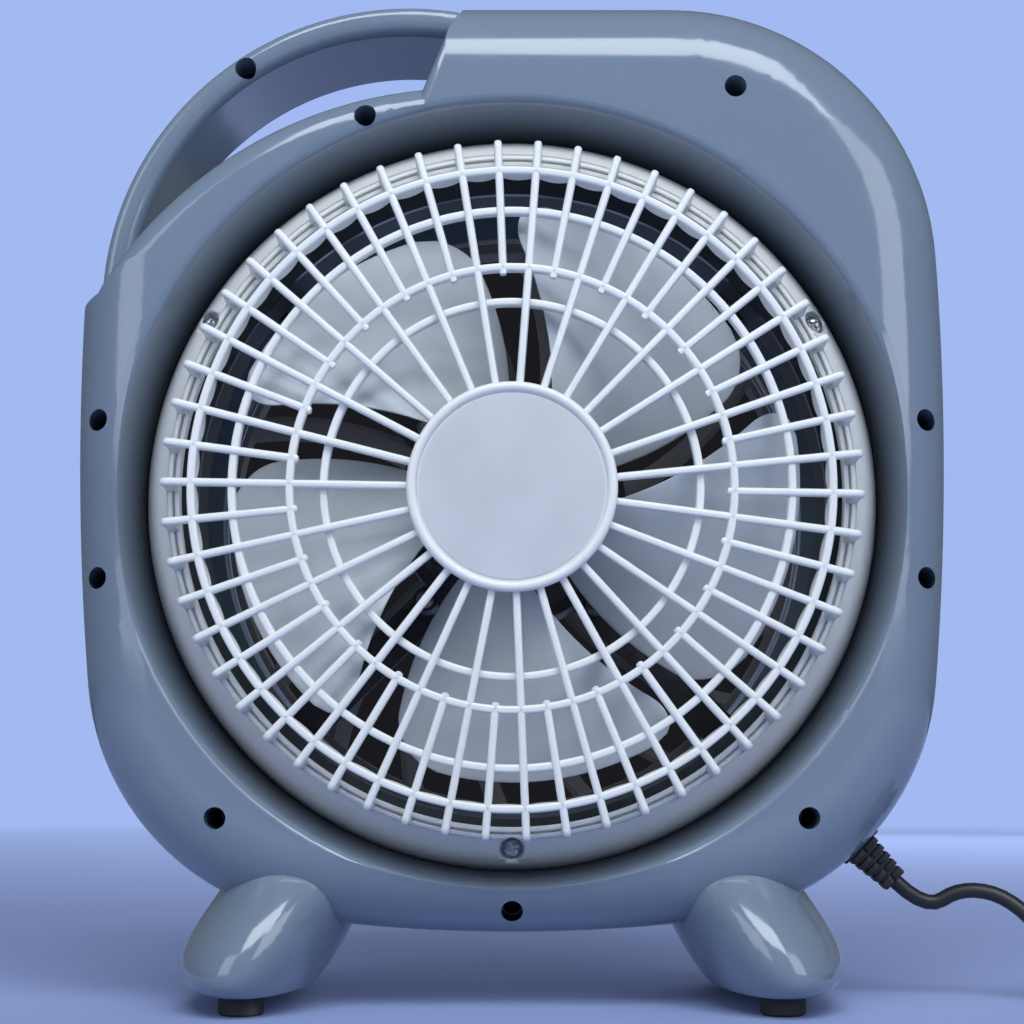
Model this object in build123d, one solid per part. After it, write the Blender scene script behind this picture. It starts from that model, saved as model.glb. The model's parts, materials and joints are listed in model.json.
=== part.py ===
from build123d import *
import math
import os

# Box fan with a round intake guard at the rear and a turning louvre at the front.
# Everything is drawn about the fan's axis: x to the right seen from the rear, y up, z to the rear.
# The finished pieces are stood up at the end: the rear faces -Y and the floor is Z = 0.

# Case outline, a chain of tangent arcs from the bottom centre to the top centre
axis_height = 179.0
case_bottom = 152.9
bottom_r, bottom_sweep = 589.0, 6.9
low_corner_r, low_corner_sweep = 91.3, 78.2
side_r, side_sweep = 1016.0, 8.7
top_corner_r = 96.0
wall = 2.5
rear_face_z = 50.0
front_face_z = -50.0
rear_margin_r = 28.0
front_margin_r = 18.0

# Carrying handle across the top corner and the recess under it
recess_x, recess_y, recess_r = -16.9, -5.4, 149.0
recess_edge_r = 9.0
recess_shoulder_y = 50.0
step_x, step_y, step_lean = -28.6, 147.7, 22.4
step_edge_r = 4.0
step_corner_r = 6.0
step_foot_r = 4.5
handle_x, handle_y, handle_r = -37.6, 71.0, 110.8
handle_inner_x, handle_inner_y, handle_inner_r = -38.5, 72.4, 99.7
handle_rear_z, handle_front_z = 23.0, -26.0
handle_outer_edge_r, handle_inner_edge_r = 3.5, 4.5
handle_wall = 2.2
handle_low_y = 62.0
handle_overlap = 9.0

# Intake funnel and duct
crest_r = 137.1
crest_round = 3.0
seat_r = 131.0
seat_z = 21.0
duct_r = 113.0
duct_wall = 2.2
funnel_wall = 2.5

# Outlet collar at the front
collar_r = 112.5
collar_wall = 2.2
outlet_crest_r = 121.0
outlet_depth = 7.0

# Screws that close the case, as (x, y)
side_screw_x, side_screw_high, side_screw_low = 144.0, 26.0, -29.0
corner_screw_x, corner_screw_y = 101.5, -112.0
handle_screw = (-96.6, 158.9)
case_screws = [(-51.0, 131.5), (77.6, 141.6), (0.0, -144.2),
               (-side_screw_x, side_screw_high), (side_screw_x, side_screw_high),
               (-side_screw_x, side_screw_low), (side_screw_x, side_screw_low),
               (-corner_screw_x, corner_screw_y), (corner_screw_x, corner_screw_y)]
case_bore_r = 3.8
case_boss_r = 5.4
case_head_r, case_head_h = 3.3, 2.4
case_shank_r = 1.5
case_shank_hole_r = 1.8
case_head_seat_z = 8.0
case_pilot_depth = 16.0

# Feet and rubber pads
foot_neck_x, foot_neck_y, foot_neck_half, foot_neck_depth = 80.0, -130.0, 24.0, 44.0
foot_x, foot_y, foot_half, foot_reach = 89.5, -157.0, 28.0, 66.0
foot_low_x, foot_low_y, foot_low_half, foot_low_reach = 93.5, -167.5, 25.5, 66.5
foot_sole_x, foot_sole_y, foot_sole_half, foot_sole_reach = 92.5, -172.0, 21.0, 61.0
foot_wall = 2.5
pad_r = 7.8
pad_z = 46.0
pad_recess_r, pad_recess_h = 4.2, 3.5
pad_screw_head_r, pad_screw_head_h = 3.4, 2.0
pad_screw_r, pad_screw_l = 1.5, 9.0
pad_boss_r, pad_boss_h = 4.0, 11.0
foot_screw_z, foot_screw_seat_y, foot_screw_l = 14.0, -152.0, 17.0
foot_boss_r, foot_boss_top_y = 4.2, -131.0

# Rear guard
spoke_count = 54
spoke_w = 2.6
spoke_h = 3.2
guard_z = 60.0
spoke_turn = -1.0
tip_r = 119.6
tip_round = 3.5
fin_base_r = 120.6
fin_depth = 17.0
fin_w = 6.0
ring_w = 2.6
outer_ring_r, second_ring_r, third_ring_r, inner_ring_r = 108.8, 95.1, 75.4, 64.1
ring_h = 3.0
inner_ring_drop = 2.6
second_ring_drop = 1.0
short_spoke_stub = 2.2
skirt_depth = 8.0
skirt_t = 1.2
rim_lip_r = 114.5
rim_ridge_w, rim_ridge_h = 1.1, 0.8
rim_top_r = 119.0
rim_outer_r = 130.6
rim_wall = 2.2
rim_bulge = 2.0
hub_r, hub_h = 35.8, 4.5
hub_rise = 2.8
hub_rim_w = 3.6
label_r, label_t = 31.4, 0.4
guard_screw_r = 123.0
guard_screw_angles = (30.0, 150.0, 270.0)
guard_screw_z = 38.5
guard_pocket_r = 5.0
guard_head_r, guard_head_h = 4.2, 2.6
guard_shank_r = 1.6
guard_boss_h = 15.0

# Fan blades
blade_tip_r = 100.0
blade_count = 5
blade_span = 62.0
blade_first = 24.0
blade_rear_z, blade_front_z = 53.0, 23.0
blade_t = 1.8
blade_root_r = 20.0
blade_hub_r = 24.0
blade_hub_wall = 2.5
blade_corner_r = 13.0
blade_hub_rear_z, blade_hub_front_z = 45.0, 17.0
blade_boss_r = 8.0
nut_r, nut_h, nut_cone = 9.0, 5.0, 3.0

# Motor
shaft_r = 4.0
running_gap = 0.05
shaft_rear_z = 51.0
shaft_front_z = -30.0
motor_r = 42.0
motor_rear_z = 12.0
stack_rear_z, stack_front_z = -4.0, -18.0
motor_shell_t = 2.0
motor_nose_r, motor_nose_h = 11.0, 3.5
stack_bore_r = 22.5
rotor_gap = 0.5
rotor_end_h = 2.0
winding_in_r, winding_out_r, winding_h = 25.0, 37.0, 9.0
bush_r, bush_l = 7.0, 9.0
motor_ear_pitch_r = 45.5
motor_ear_r = 4.5
motor_ear_h = 3.0
motor_bolt_r = 1.9
motor_bolt_hole_r = 2.1
motor_bolt_head_r, motor_bolt_head_h = 3.3, 2.2
vent_count = 10

# Motor bracket, a pressed cross between the motor and the front case
ledge_z = -32.0
ledge_r = 125.0
bracket_t = 2.5
bracket_arm_w = 14.0
bracket_hub_r = 30.0
bracket_screw_r = 119.0
bracket_angles = (45.0, 135.0, 225.0, 315.0)
bracket_boss_r = 5.0
bracket_hole_r = 2.0
bracket_head_r, bracket_head_h = 3.8, 2.4

# Louvre drive and turning louvre
drive_r, drive_h = 24.0, 11.0
drive_screw_pitch = 19.0
drive_shaft_r = 3.5
louvre_rear_z = -38.0
louvre_front_z = -50.0
louvre_rim_r = 111.0
louvre_rim_w = 2.2
louvre_hub_r = 29.0
louvre_hub_wall = 2.0
louvre_count = 20
louvre_t = 1.7
louvre_sweep = 16.0
louvre_tilt = 32.0
louvre_plate_z = -53.0
cap_r, cap_h = 19.0, 4.0

# Controls on the front, in the corner opposite the handle
panel_inner_r, panel_outer_r = 129.0, 160.0
panel_start, panel_end = 33.0, 81.0
panel_t = 1.6
panel_inset = 1.0
control_r = 145.0
speed_angle, timer_angle, button_angle = 42.0, 59.5, 74.0
knob_r, knob_h, knob_lift = 14.5, 13.0, 1.0
knob_grip_w, knob_grip_h = 6.0, 3.0
spindle_r = 3.0
collar_nut_r, collar_nut_h = 6.0, 2.0
bushing_r = 4.5
switch_size, switch_depth = 27.0, 16.0
timer_size, timer_depth = 23.0, 26.0
button_r, button_h, button_travel = 6.5, 5.0, 3.0
button_gap = 0.35
button_stem_r = 2.0
button_flange_r, button_flange_h = 7.6, 1.0
button_switch_size, button_switch_depth = 19.0, 16.0

# Start capacitor on the inside of the top wall
capacitor_x, capacitor_l, capacitor_w, capacitor_h = 24.0, 38.0, 24.0, 18.0
capacitor_z = -12.0

# Mains lead
lead_angle = -44.0
lead_z = 0.0
lead_straight = 16.0
relief_w, relief_h, relief_t = 17.0, 12.0, 3.7
relief_neck_w, relief_neck_h = 11.0, 8.0
boot_w, boot_tip_w, boot_l = 13.0, 9.2, 17.6
cord_r = 2.8
cord_floor = -axis_height + cord_r + 0.2
coil_mid_r = 31.0
coil_x, coil_z = 236.0, 6.0
coil_width, coil_height = 17.0, 16.8
plug_l, plug_w, plug_h = 36.0, 24.0, 15.0
pin_r, pin_l, pin_pitch = 2.4, 19.0, 19.0

os.makedirs("parts", exist_ok=True)
stand_up = Pos(0, 0, axis_height) * Rot(90, 0, 0)


def write(node, shape):
    export_step(stand_up * shape, f"parts/{node}.step")


def polar(radius, degrees):
    return radius * math.cos(math.radians(degrees)), radius * math.sin(math.radians(degrees))


def ring(inner, outer, low, high):
    """Plain ring about the fan's axis."""
    body = Pos(0, 0, low) * Cylinder(outer, high - low, align=(Align.CENTER, Align.CENTER, Align.MIN))
    if inner > 0:
        body -= Pos(0, 0, low - 1) * Cylinder(inner, high - low + 2,
                                              align=(Align.CENTER, Align.CENTER, Align.MIN))
    return body


def post(x, y, radius, low, high):
    return Pos(x, y, 0) * ring(0, radius, low, high)


def turned(points):
    """Solid of revolution of a polygon given as (radius, z)."""
    face = make_face(Polyline([(r, 0, z) for r, z in points], close=True))
    return revolve(face, Axis.Z, 360)


def slab(points, low, high):
    face = make_face(Polyline(*points, close=True))
    return Pos(0, 0, low) * extrude(face, high - low)


# Case outline

def outline_arcs():
    """Centre, radius and angles of each arc on the right side, and the top's height."""
    x, y, heading = 0.0, -case_bottom, 0.0
    top_sweep = 180.0 - bottom_sweep - low_corner_sweep - side_sweep
    arcs = []
    for radius, sweep in ((bottom_r, bottom_sweep), (low_corner_r, low_corner_sweep),
                          (side_r, side_sweep), (top_corner_r, top_sweep)):
        a = math.radians(heading)
        cx, cy = x - radius * math.sin(a), y + radius * math.cos(a)
        arcs.append((cx, cy, radius, heading, heading + sweep))
        heading += sweep
        a = math.radians(heading)
        x, y = cx + radius * math.sin(a), cy - radius * math.cos(a)
    return arcs, y


def outline(inset=0.0):
    """Face of the whole outline, drawn that far inside the true edge."""
    arcs, top = outline_arcs()
    edges = []
    for side in (1, -1):
        for cx, cy, radius, start, end in arcs:
            points = []
            for heading in (start, (start + end) / 2, end):
                a = math.radians(heading)
                points.append((side * (cx + (radius - inset) * math.sin(a)),
                               cy - (radius - inset) * math.cos(a)))
            edges.append(ThreePointArc(*points))
    flat = arcs[-1][0]
    edges.append(Line((flat, top - inset), (-flat, top - inset)))
    return make_face(Wire.combine([edge.edge() for edge in edges])[0].edges())


arcs_right, case_top = outline_arcs()
corner_cx, corner_cy = arcs_right[-1][0], arcs_right[-1][1]
half_width = arcs_right[-2][0] + side_r
step_slope = math.tan(math.radians(step_lean))


def step_line_x(y, inset=0.0):
    return step_x + (y - step_y) * step_slope + inset / math.cos(math.radians(step_lean))


def beside_handle(inset, low, high):
    """What is kept of the pillow: right of the step and below the recess arc."""
    reach = half_width + 60
    kept = slab([(step_line_x(reach, inset), reach), (step_line_x(100, inset), 100), (-reach, recess_shoulder_y),
                 (-reach, -reach), (reach, -reach), (reach, reach)], low, high)
    edges = kept.edges().filter_by(Plane.XY, reverse=False).filter_by(
        lambda e: abs(e.center().X - step_line_x(e.center().Y, inset)) < 0.5 and e.center().Y > 100)
    kept = fillet(edges, step_edge_r)
    disc = Pos(recess_x, recess_y, 0) * ring(0, recess_r - inset, low, high)
    disc = fillet(disc.edges().filter_by(GeomType.CIRCLE), recess_edge_r - inset)
    return kept + disc


def pillow(face_z, margin, inset=0.0):
    """One half of the case as a solid, from the parting plane to its face."""
    depth = abs(face_z) - inset
    side = 1 if face_z > 0 else -1
    body = extrude(outline(inset), depth * side)
    rim = body.edges().group_by(Axis.Z)[-1 if side > 0 else 0]
    body = fillet(rim, margin - inset)
    low, high = sorted((0.0, depth * side))
    spread = 30.0
    keep = beside_handle(inset, low - (spread if side > 0 else 0), high + (spread if side < 0 else 0))
    body = body & keep
    corner_x = step_line_x(case_top - inset, inset)
    r = step_corner_r - min(inset, step_corner_r - 1)
    lean = math.radians(90 - step_lean)
    cut = r / math.tan((math.pi - lean) / 2)
    cx, cy = corner_x + cut, case_top - inset - r
    nose = slab([(corner_x - r, case_top + 1), (cx, case_top + 1), (cx, cy),
                 (step_line_x(cy - 0.3 * r, inset) - 1, cy - 0.3 * r)], low - 1, high + 1)
    return body - (nose - post(cx, cy, r, low - 2, high + 2))


def handle(inset=0.0):
    """Carrying handle as a bar between two arcs across the outline's missing corner."""
    band = Pos(handle_x, handle_y) * Circle(handle_r - inset)
    band -= Pos(handle_inner_x, handle_inner_y) * Circle(handle_inner_r + inset)
    end_x = step_line_x(case_top) + handle_overlap
    window = make_face(Polyline((end_x, handle_low_y), (end_x, 2 * case_top), (-2 * half_width, 2 * case_top),
                                (-2 * half_width, handle_low_y), close=True))
    body = extrude(band & window, handle_rear_z - handle_front_z - 2 * inset)
    body = Pos(0, 0, handle_front_z + inset) * body
    if inset:
        return body
    for radius, edge_r in ((handle_inner_r, handle_inner_edge_r), (handle_r, handle_outer_edge_r)):
        arcs = body.edges().filter_by(GeomType.CIRCLE).filter_by(
            lambda e: abs(e.radius - radius) < 0.1 and abs(e.start_point().Z - e.end_point().Z) < 0.01)
        body = fillet(arcs, edge_r)
    return body


def foot(side, inset=0.0):
    """Splayed foot lofted from a neck inside the case to its sole."""
    sections = ((foot_neck_x, foot_neck_y, foot_neck_half, foot_neck_depth),
                (foot_x, foot_y, foot_half, foot_reach),
                (foot_low_x, foot_low_y, foot_low_half, foot_low_reach),
                (foot_sole_x, foot_sole_y + inset, foot_sole_half, foot_sole_reach))
    faces = []
    for x, y, half, reach in sections:
        plane = Plane(origin=(side * x, y, 0), x_dir=(1, 0, 0), z_dir=(0, -1, 0))
        faces.append(plane * make_face(Ellipse(half - inset, reach - inset)))
    return loft(faces)


def upright(x, z, radius, low, high):
    """Round post along y."""
    plane = Plane(origin=(x, low, z), z_dir=(0, 1, 0))
    return plane * Cylinder(radius, high - low, align=(Align.CENTER, Align.CENTER, Align.MIN))


def half_space(side):
    """Everything on one side of the parting plane, for splitting what crosses it."""
    size = 3 * half_width
    return Pos(0, 0, side * size / 2) * Box(2 * size, 2 * size, size)


# Place and frame of the cord's strain relief on the outline

low_cx, low_cy = arcs_right[1][0], arcs_right[1][1]
relief_dx, relief_dy = polar(1, lead_angle)
relief_x, relief_y = low_cx + low_corner_r * relief_dx, low_cy + low_corner_r * relief_dy
relief_plane = Plane(origin=(relief_x, relief_y, lead_z), x_dir=(-relief_dy, relief_dx, 0),
                     z_dir=(relief_dx, relief_dy, 0))


def relief_block(width, height, low, high):
    return relief_plane * Pos(0, 0, (low + high) / 2) * Box(width, height, high - low)


def half_case(side, face_z, margin):
    """Hollow half of the case with its foot screw bosses, and the solid that it was made from."""
    outer = pillow(face_z, margin)
    shell = outer - pillow(face_z, margin, wall)
    z = side * foot_screw_z
    for x in (-foot_sole_x, foot_sole_x):
        shell += upright(x, z, foot_boss_r, foot_y, foot_boss_top_y) & outer
        shell -= upright(x, z, case_shank_r, foot_y, foot_boss_top_y - 1)
    shell -= relief_block(relief_neck_w, relief_neck_h, -3 * wall, wall)
    return shell, outer


def half_handle(side, face_z, margin):
    """Hollow half of the handle, closed against the case."""
    keep = half_space(side)
    shape = (handle() & keep) - pillow(face_z, margin)
    return shape - (handle(handle_wall) & keep), shape


def handle_rear():
    body, shape = half_handle(1, rear_face_z, rear_margin_r)
    body += post(*handle_screw, case_boss_r, 0, handle_rear_z) & shape
    body -= post(*handle_screw, case_bore_r, case_head_seat_z, handle_rear_z + 1)
    return body - post(*handle_screw, case_shank_hole_r, -1, handle_rear_z + 1)


def handle_front():
    body, shape = half_handle(-1, front_face_z, front_margin_r)
    body += post(*handle_screw, case_boss_r - 0.9, handle_front_z, 0) & shape
    return body - post(*handle_screw, case_shank_r, -case_pilot_depth, 1)


def foot_piece(side):
    """Hollow foot that fits the underside of the closed case."""
    shape = foot(side) - (pillow(rear_face_z, rear_margin_r) + pillow(front_face_z, front_margin_r))
    body = shape - foot(side, foot_wall)
    x = side * foot_sole_x
    for z in (pad_z, -pad_z):
        body += upright(x, z, pad_boss_r, foot_sole_y, foot_sole_y + pad_boss_h) & shape
        body -= upright(x, z, pad_screw_r, foot_sole_y - 1, foot_sole_y + pad_screw_l)
    for z in (foot_screw_z, -foot_screw_z):
        body += upright(x, z, case_boss_r, foot_sole_y, foot_boss_top_y) & shape
        body -= upright(x, z, case_bore_r, foot_sole_y - 1, foot_screw_seat_y)
        body -= upright(x, z, case_shank_hole_r, foot_sole_y, foot_boss_top_y)
    return body


def funnel_outside():
    """Everything inside the outer skin of the intake funnel and its duct."""
    top = rear_face_z + 2
    return turned([(0, 0), (duct_r + duct_wall, 0), (duct_r + duct_wall, seat_z - funnel_wall),
                   (seat_r + funnel_wall, seat_z - funnel_wall),
                   (crest_r - 1 + funnel_wall, rear_face_z - crest_round),
                   (crest_r + crest_round + funnel_wall, top), (0, top)])


def funnel_mouth():
    """Space inside the intake funnel, with the rounded crest."""
    low = (crest_r - 1, rear_face_z - crest_round)
    high = (crest_r + crest_round, rear_face_z)
    mid = (low[0] + (high[0] - low[0]) * 0.29, low[1] + (high[1] - low[1]) * 0.71)
    line = Polyline((0, 0, rear_face_z + 9), (0, 0, -1), (duct_r, 0, -1), (duct_r, 0, seat_z),
                    (seat_r, 0, seat_z), (low[0], 0, low[1]))
    bend = ThreePointArc((low[0], 0, low[1]), (mid[0], 0, mid[1]), (high[0], 0, high[1]))
    lid = Polyline((high[0], 0, high[1]), (high[0], 0, rear_face_z + 9), (0, 0, rear_face_z + 9))
    return revolve(make_face([*line.edges(), bend.edge(), *lid.edges()]), Axis.Z, 360)


def case_bores():
    """Counterbored holes of the case screws, through the rear half."""
    top = rear_face_z + 2
    return [hole for x, y in case_screws for hole in (post(x, y, case_bore_r, case_head_seat_z, top),
                                                      post(x, y, case_shank_hole_r, -1, top))]


def rear_shell():
    shell, outer = half_case(1, rear_face_z, rear_margin_r)
    shell += [post(x, y, case_boss_r, 0, rear_face_z) & outer for x, y in case_screws]
    shell -= funnel_outside()
    return shell - case_bores()


def intake_funnel():
    body = (funnel_outside() & pillow(rear_face_z, rear_margin_r)) - funnel_mouth()
    body -= post(0, 0, duct_r + duct_wall, -1, seat_z - funnel_wall)
    places = [polar(guard_screw_r, angle) for angle in guard_screw_angles]
    low = seat_z - guard_boss_h
    body += [post(x, y, guard_head_r, low, seat_z) for x, y in places]
    body -= [post(x, y, guard_shank_r, low + 2, seat_z + 1) for x, y in places]
    return body - case_bores()


def control_places():
    return [polar(control_r, angle) for angle in (speed_angle, timer_angle, button_angle)]


def panel_solid(inset, low, high):
    """Sector of a ring with rounded ends, the shape of the control panel."""
    mid, half = (panel_inner_r + panel_outer_r) / 2, (panel_outer_r - panel_inner_r) / 2
    sweep = panel_end - panel_start
    body = ring(panel_inner_r + inset, panel_outer_r - inset, low, high)
    reach = 3 * panel_outer_r
    a, b = polar(reach, panel_start), polar(reach, panel_end)
    body = body & slab([(0, 0), a, polar(reach, panel_start + sweep / 2), b], low - 1, high + 1)
    ends = [post(*polar(mid, angle), half - inset, low, high) for angle in (panel_start, panel_end)]
    return body + ends


def collar_outside():
    """Everything inside the outer skin of the outlet collar."""
    low = front_face_z - 2
    return turned([(0, 0), (ledge_r + collar_wall, 0), (ledge_r + collar_wall, ledge_z - wall),
                   (collar_r + collar_wall, ledge_z - wall),
                   (collar_r + collar_wall, front_face_z + outlet_depth),
                   (outlet_crest_r + collar_wall, front_face_z + wall),
                   (outlet_crest_r + collar_wall, low), (0, low)])


def collar_mouth():
    """Space inside the outlet collar, flared towards the front."""
    inner, outer = collar_r, outlet_crest_r
    low, high = front_face_z, front_face_z + outlet_depth
    bend = ThreePointArc((inner, 0, high), (inner + 0.3 * (outer - inner), 0, low + 0.3 * outlet_depth),
                         (outer, 0, low))
    back = Polyline((outer, 0, low), (outer, 0, low - 9), (0, 0, low - 9), (0, 0, 1), (ledge_r, 0, 1),
                    (ledge_r, 0, ledge_z), (inner, 0, ledge_z), (inner, 0, high))
    return revolve(make_face([bend.edge(), *back.edges()]), Axis.Z, 360)


def outlet_collar():
    body = collar_outside() & pillow(front_face_z, front_margin_r)
    places = [polar(bracket_screw_r, angle) for angle in bracket_angles]
    body += [post(x, y, bracket_boss_r, front_face_z + wall, ledge_z) for x, y in places]
    body -= collar_mouth()
    return body - [post(x, y, motor_bolt_r, ledge_z - 12, ledge_z + 1) for x, y in places]


def front_shell():
    shell, outer = half_case(-1, front_face_z, front_margin_r)
    shell += [post(x, y, case_boss_r - 0.9, front_face_z + 1, 0) & outer for x, y in case_screws]
    shell -= collar_outside()
    shell -= [post(x, y, case_shank_r, -case_pilot_depth, 1) for x, y in case_screws]
    shell -= panel_solid(-0.2, front_face_z - 1, front_face_z + panel_inset)
    speed, timer, button = control_places()
    return shell - [post(*speed, bushing_r + 0.2, front_face_z - 1, front_face_z + 5),
                    post(*timer, bushing_r + 0.2, front_face_z - 1, front_face_z + 5),
                    post(*button, button_r + button_gap, front_face_z - 1, front_face_z + 5)]


def control_panel():
    low = front_face_z + panel_inset - panel_t
    body = panel_solid(0, low, front_face_z + panel_inset)
    speed, timer, button = control_places()
    return body - [post(*speed, bushing_r + 0.2, low - 1, low + 5), post(*timer, bushing_r + 0.2, low - 1, low + 5),
                   post(*button, button_r + button_gap, low - 1, low + 5)]


def pan_screw(x, y, head_r, head_h, shank_r, seat, length, facing=1):
    """Pan-head screw with its head's underside at seat and its shank pointing away from the head."""
    head = turned([(0, 0), (head_r, 0), (head_r, 0.45 * head_h), (0.55 * head_r, head_h), (0, head_h)])
    slot = Pos(0, 0, head_h) * (Box(head_r, 0.22 * head_r, 0.7 * head_h) + Box(0.22 * head_r, head_r, 0.7 * head_h))
    shank = ring(0, shank_r, -length, 0)
    screw = head - slot + shank
    if facing < 0:
        screw = Rot(180, 0, 0) * screw
    return Pos(x, y, seat) * screw


def joined(pieces):
    return Compound(children=list(pieces))


# Rear guard

def guard_profile(start):
    """Spoke in its radial plane, with the fin that drops to the rim."""
    under = guard_z - spoke_h
    base = guard_z - fin_depth + rim_ridge_h
    arc = ThreePointArc((tip_r - tip_round, 0, guard_z), (tip_r - 0.29 * tip_round, 0, guard_z - 0.29 * tip_round),
                        (tip_r, 0, guard_z - tip_round))
    rest = Polyline((tip_r, 0, guard_z - tip_round), (fin_base_r, 0, base), (fin_base_r - fin_w, 0, base),
                    (tip_r - fin_w, 0, under), (start, 0, under), (start, 0, guard_z),
                    (tip_r - tip_round, 0, guard_z))
    return extrude(make_face([arc.edge(), *rest.edges()]), spoke_w / 2, both=True)


def guard_ring(radius, top):
    return ring(radius - ring_w / 2, radius + ring_w / 2, top - ring_h, top)


def guard_grille():
    """Spokes with their fins, the rings, the skirt of the outer ring and the hub."""
    step = 360 / spoke_count
    full = guard_profile(hub_r - hub_rim_w / 2)
    short = guard_profile(third_ring_r - ring_w / 2 - short_spoke_stub)
    spokes = []
    for i in range(spoke_count):
        angle = 90 + step / 2 + spoke_turn + i * step
        spokes.append(Rot(0, 0, angle) * (short if i % 2 == 0 else full))
    top = guard_z + hub_rise
    hub = turned([(0, top - hub_h), (hub_r - 1, top - hub_h), (hub_r, top - hub_h + 1), (hub_r, top - 1.2),
                  (hub_r - 1.2, top), (hub_r - hub_rim_w + 0.8, top), (hub_r - hub_rim_w, top - 1.6),
                  (0, top - 1.6)])
    skirt = ring(outer_ring_r - skirt_t, outer_ring_r, guard_z - skirt_depth, guard_z - 1)
    grille = hub + [guard_ring(outer_ring_r, guard_z), guard_ring(second_ring_r, guard_z - second_ring_drop),
                    guard_ring(third_ring_r, guard_z), guard_ring(inner_ring_r, guard_z - inner_ring_drop), skirt]
    return grille + spokes


def guard_rim():
    """Terraced and domed rim that carries the grille, with a pocket for each screw."""
    base = guard_z - fin_depth
    mid_r, mid_z = (rim_top_r + rim_outer_r) / 2 + rim_bulge, (base + seat_z) / 2 + rim_bulge
    w = rim_ridge_w
    rim = turned([(rim_lip_r, base - 2), (rim_lip_r, base + rim_ridge_h), (rim_lip_r + w, base + rim_ridge_h),
                  (rim_lip_r + w, base), (rim_lip_r + 2 * w, base), (rim_lip_r + 2 * w, base + rim_ridge_h),
                  (rim_lip_r + 3 * w, base + rim_ridge_h), (rim_top_r, base), (mid_r, mid_z),
                  (rim_outer_r, seat_z + 2), (rim_outer_r, seat_z), (rim_outer_r - rim_wall, seat_z),
                  (rim_outer_r - rim_wall, seat_z + 2), (mid_r - rim_wall, mid_z - 1),
                  (rim_top_r - 1, base - 2)])
    places = [polar(guard_screw_r, angle) for angle in guard_screw_angles]
    rim += [post(x, y, guard_pocket_r + 1, seat_z, guard_screw_z) for x, y in places]
    rim -= [post(x, y, guard_pocket_r, guard_screw_z, base + 1.5) for x, y in places]
    return rim - [post(x, y, guard_shank_r + 0.2, seat_z - 1, guard_screw_z + 1) for x, y in places]


# Fan

def fan_blade():
    """Five helical blades on a hollow hub with a bored boss."""
    pitch = (blade_rear_z - blade_front_z) * 360 / blade_span
    spare = 5.0
    height = blade_rear_z - blade_front_z + 2 * spare
    start = -spare / pitch * 360
    curves = [Rot(0, 0, start) * Pos(0, 0, blade_front_z - spare) * Edge.make_helix(pitch, height, r)
              for r in (blade_root_r, blade_tip_r + 4)]
    sheet = Face.make_surface_from_curves(curves[0], curves[1])
    sheet = Solid.thicken(sheet, blade_t / 2) + Solid.thicken(sheet, -blade_t / 2)
    gap = 6.5
    step = 360 / blade_count
    edge_x = math.sqrt(blade_tip_r ** 2 - gap ** 2)
    lead = math.degrees(math.atan2(gap, edge_x))
    root_x = blade_root_r + 1
    first = [(root_x, gap), (edge_x, gap)]
    last = []
    for x, y in reversed(first):
        radius, angle = math.hypot(x, y), step - math.degrees(math.atan2(y, x))
        last.append(polar(radius, angle))
    side_a = Line(first[0], first[1])
    tip = ThreePointArc(first[1], polar(blade_tip_r, step / 2), last[0])
    side_b = Line(last[0], last[1])
    root = Line(last[1], first[0])
    plan = make_face([side_a.edge(), tip.edge(), side_b.edge(), root.edge()])
    plan = fillet(plan.vertices().sort_by(lambda v: -math.hypot(v.X, v.Y))[0:2], blade_corner_r)
    low, high = blade_front_z - spare, blade_rear_z + spare
    blade = (Pos(0, 0, low) * extrude(plan, high - low)) & (Rot(0, 0, (step - blade_span) / 2) * sheet)
    top, bottom = blade_hub_rear_z, blade_hub_front_z
    w = blade_hub_wall
    hub = turned([(blade_hub_r, bottom), (blade_hub_r, top - 4), (blade_hub_r - 4, top), (shaft_r, top),
                  (shaft_r, bottom + 3), (blade_boss_r, bottom + 3), (blade_boss_r, top - w),
                  (blade_hub_r - w - 2, top - w), (blade_hub_r - w, top - w - 2), (blade_hub_r - w, bottom)])
    inside = ring(0, blade_hub_r - w / 2, bottom, top)
    blades = [Rot(0, 0, blade_first + i * step) * (blade - inside) for i in range(blade_count)]
    return hub + blades


def blade_nut():
    low = blade_hub_rear_z
    nut = turned([(shaft_r, low), (nut_r, low), (nut_r, low + nut_h - 1), (nut_r - 2.5, low + nut_h + nut_cone),
                  (0, low + nut_h + nut_cone), (0, shaft_rear_z), (shaft_r, shaft_rear_z)])
    grips = [Rot(0, 0, 60 * i) * Pos(nut_r + 1.2, 0, low) * Cylinder(2.2, 4 * nut_h) for i in range(6)]
    return nut - grips


# Motor

motor_front_z = ledge_z + bracket_t
motor_places = [polar(motor_ear_pitch_r, angle) for angle in bracket_angles]


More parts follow.
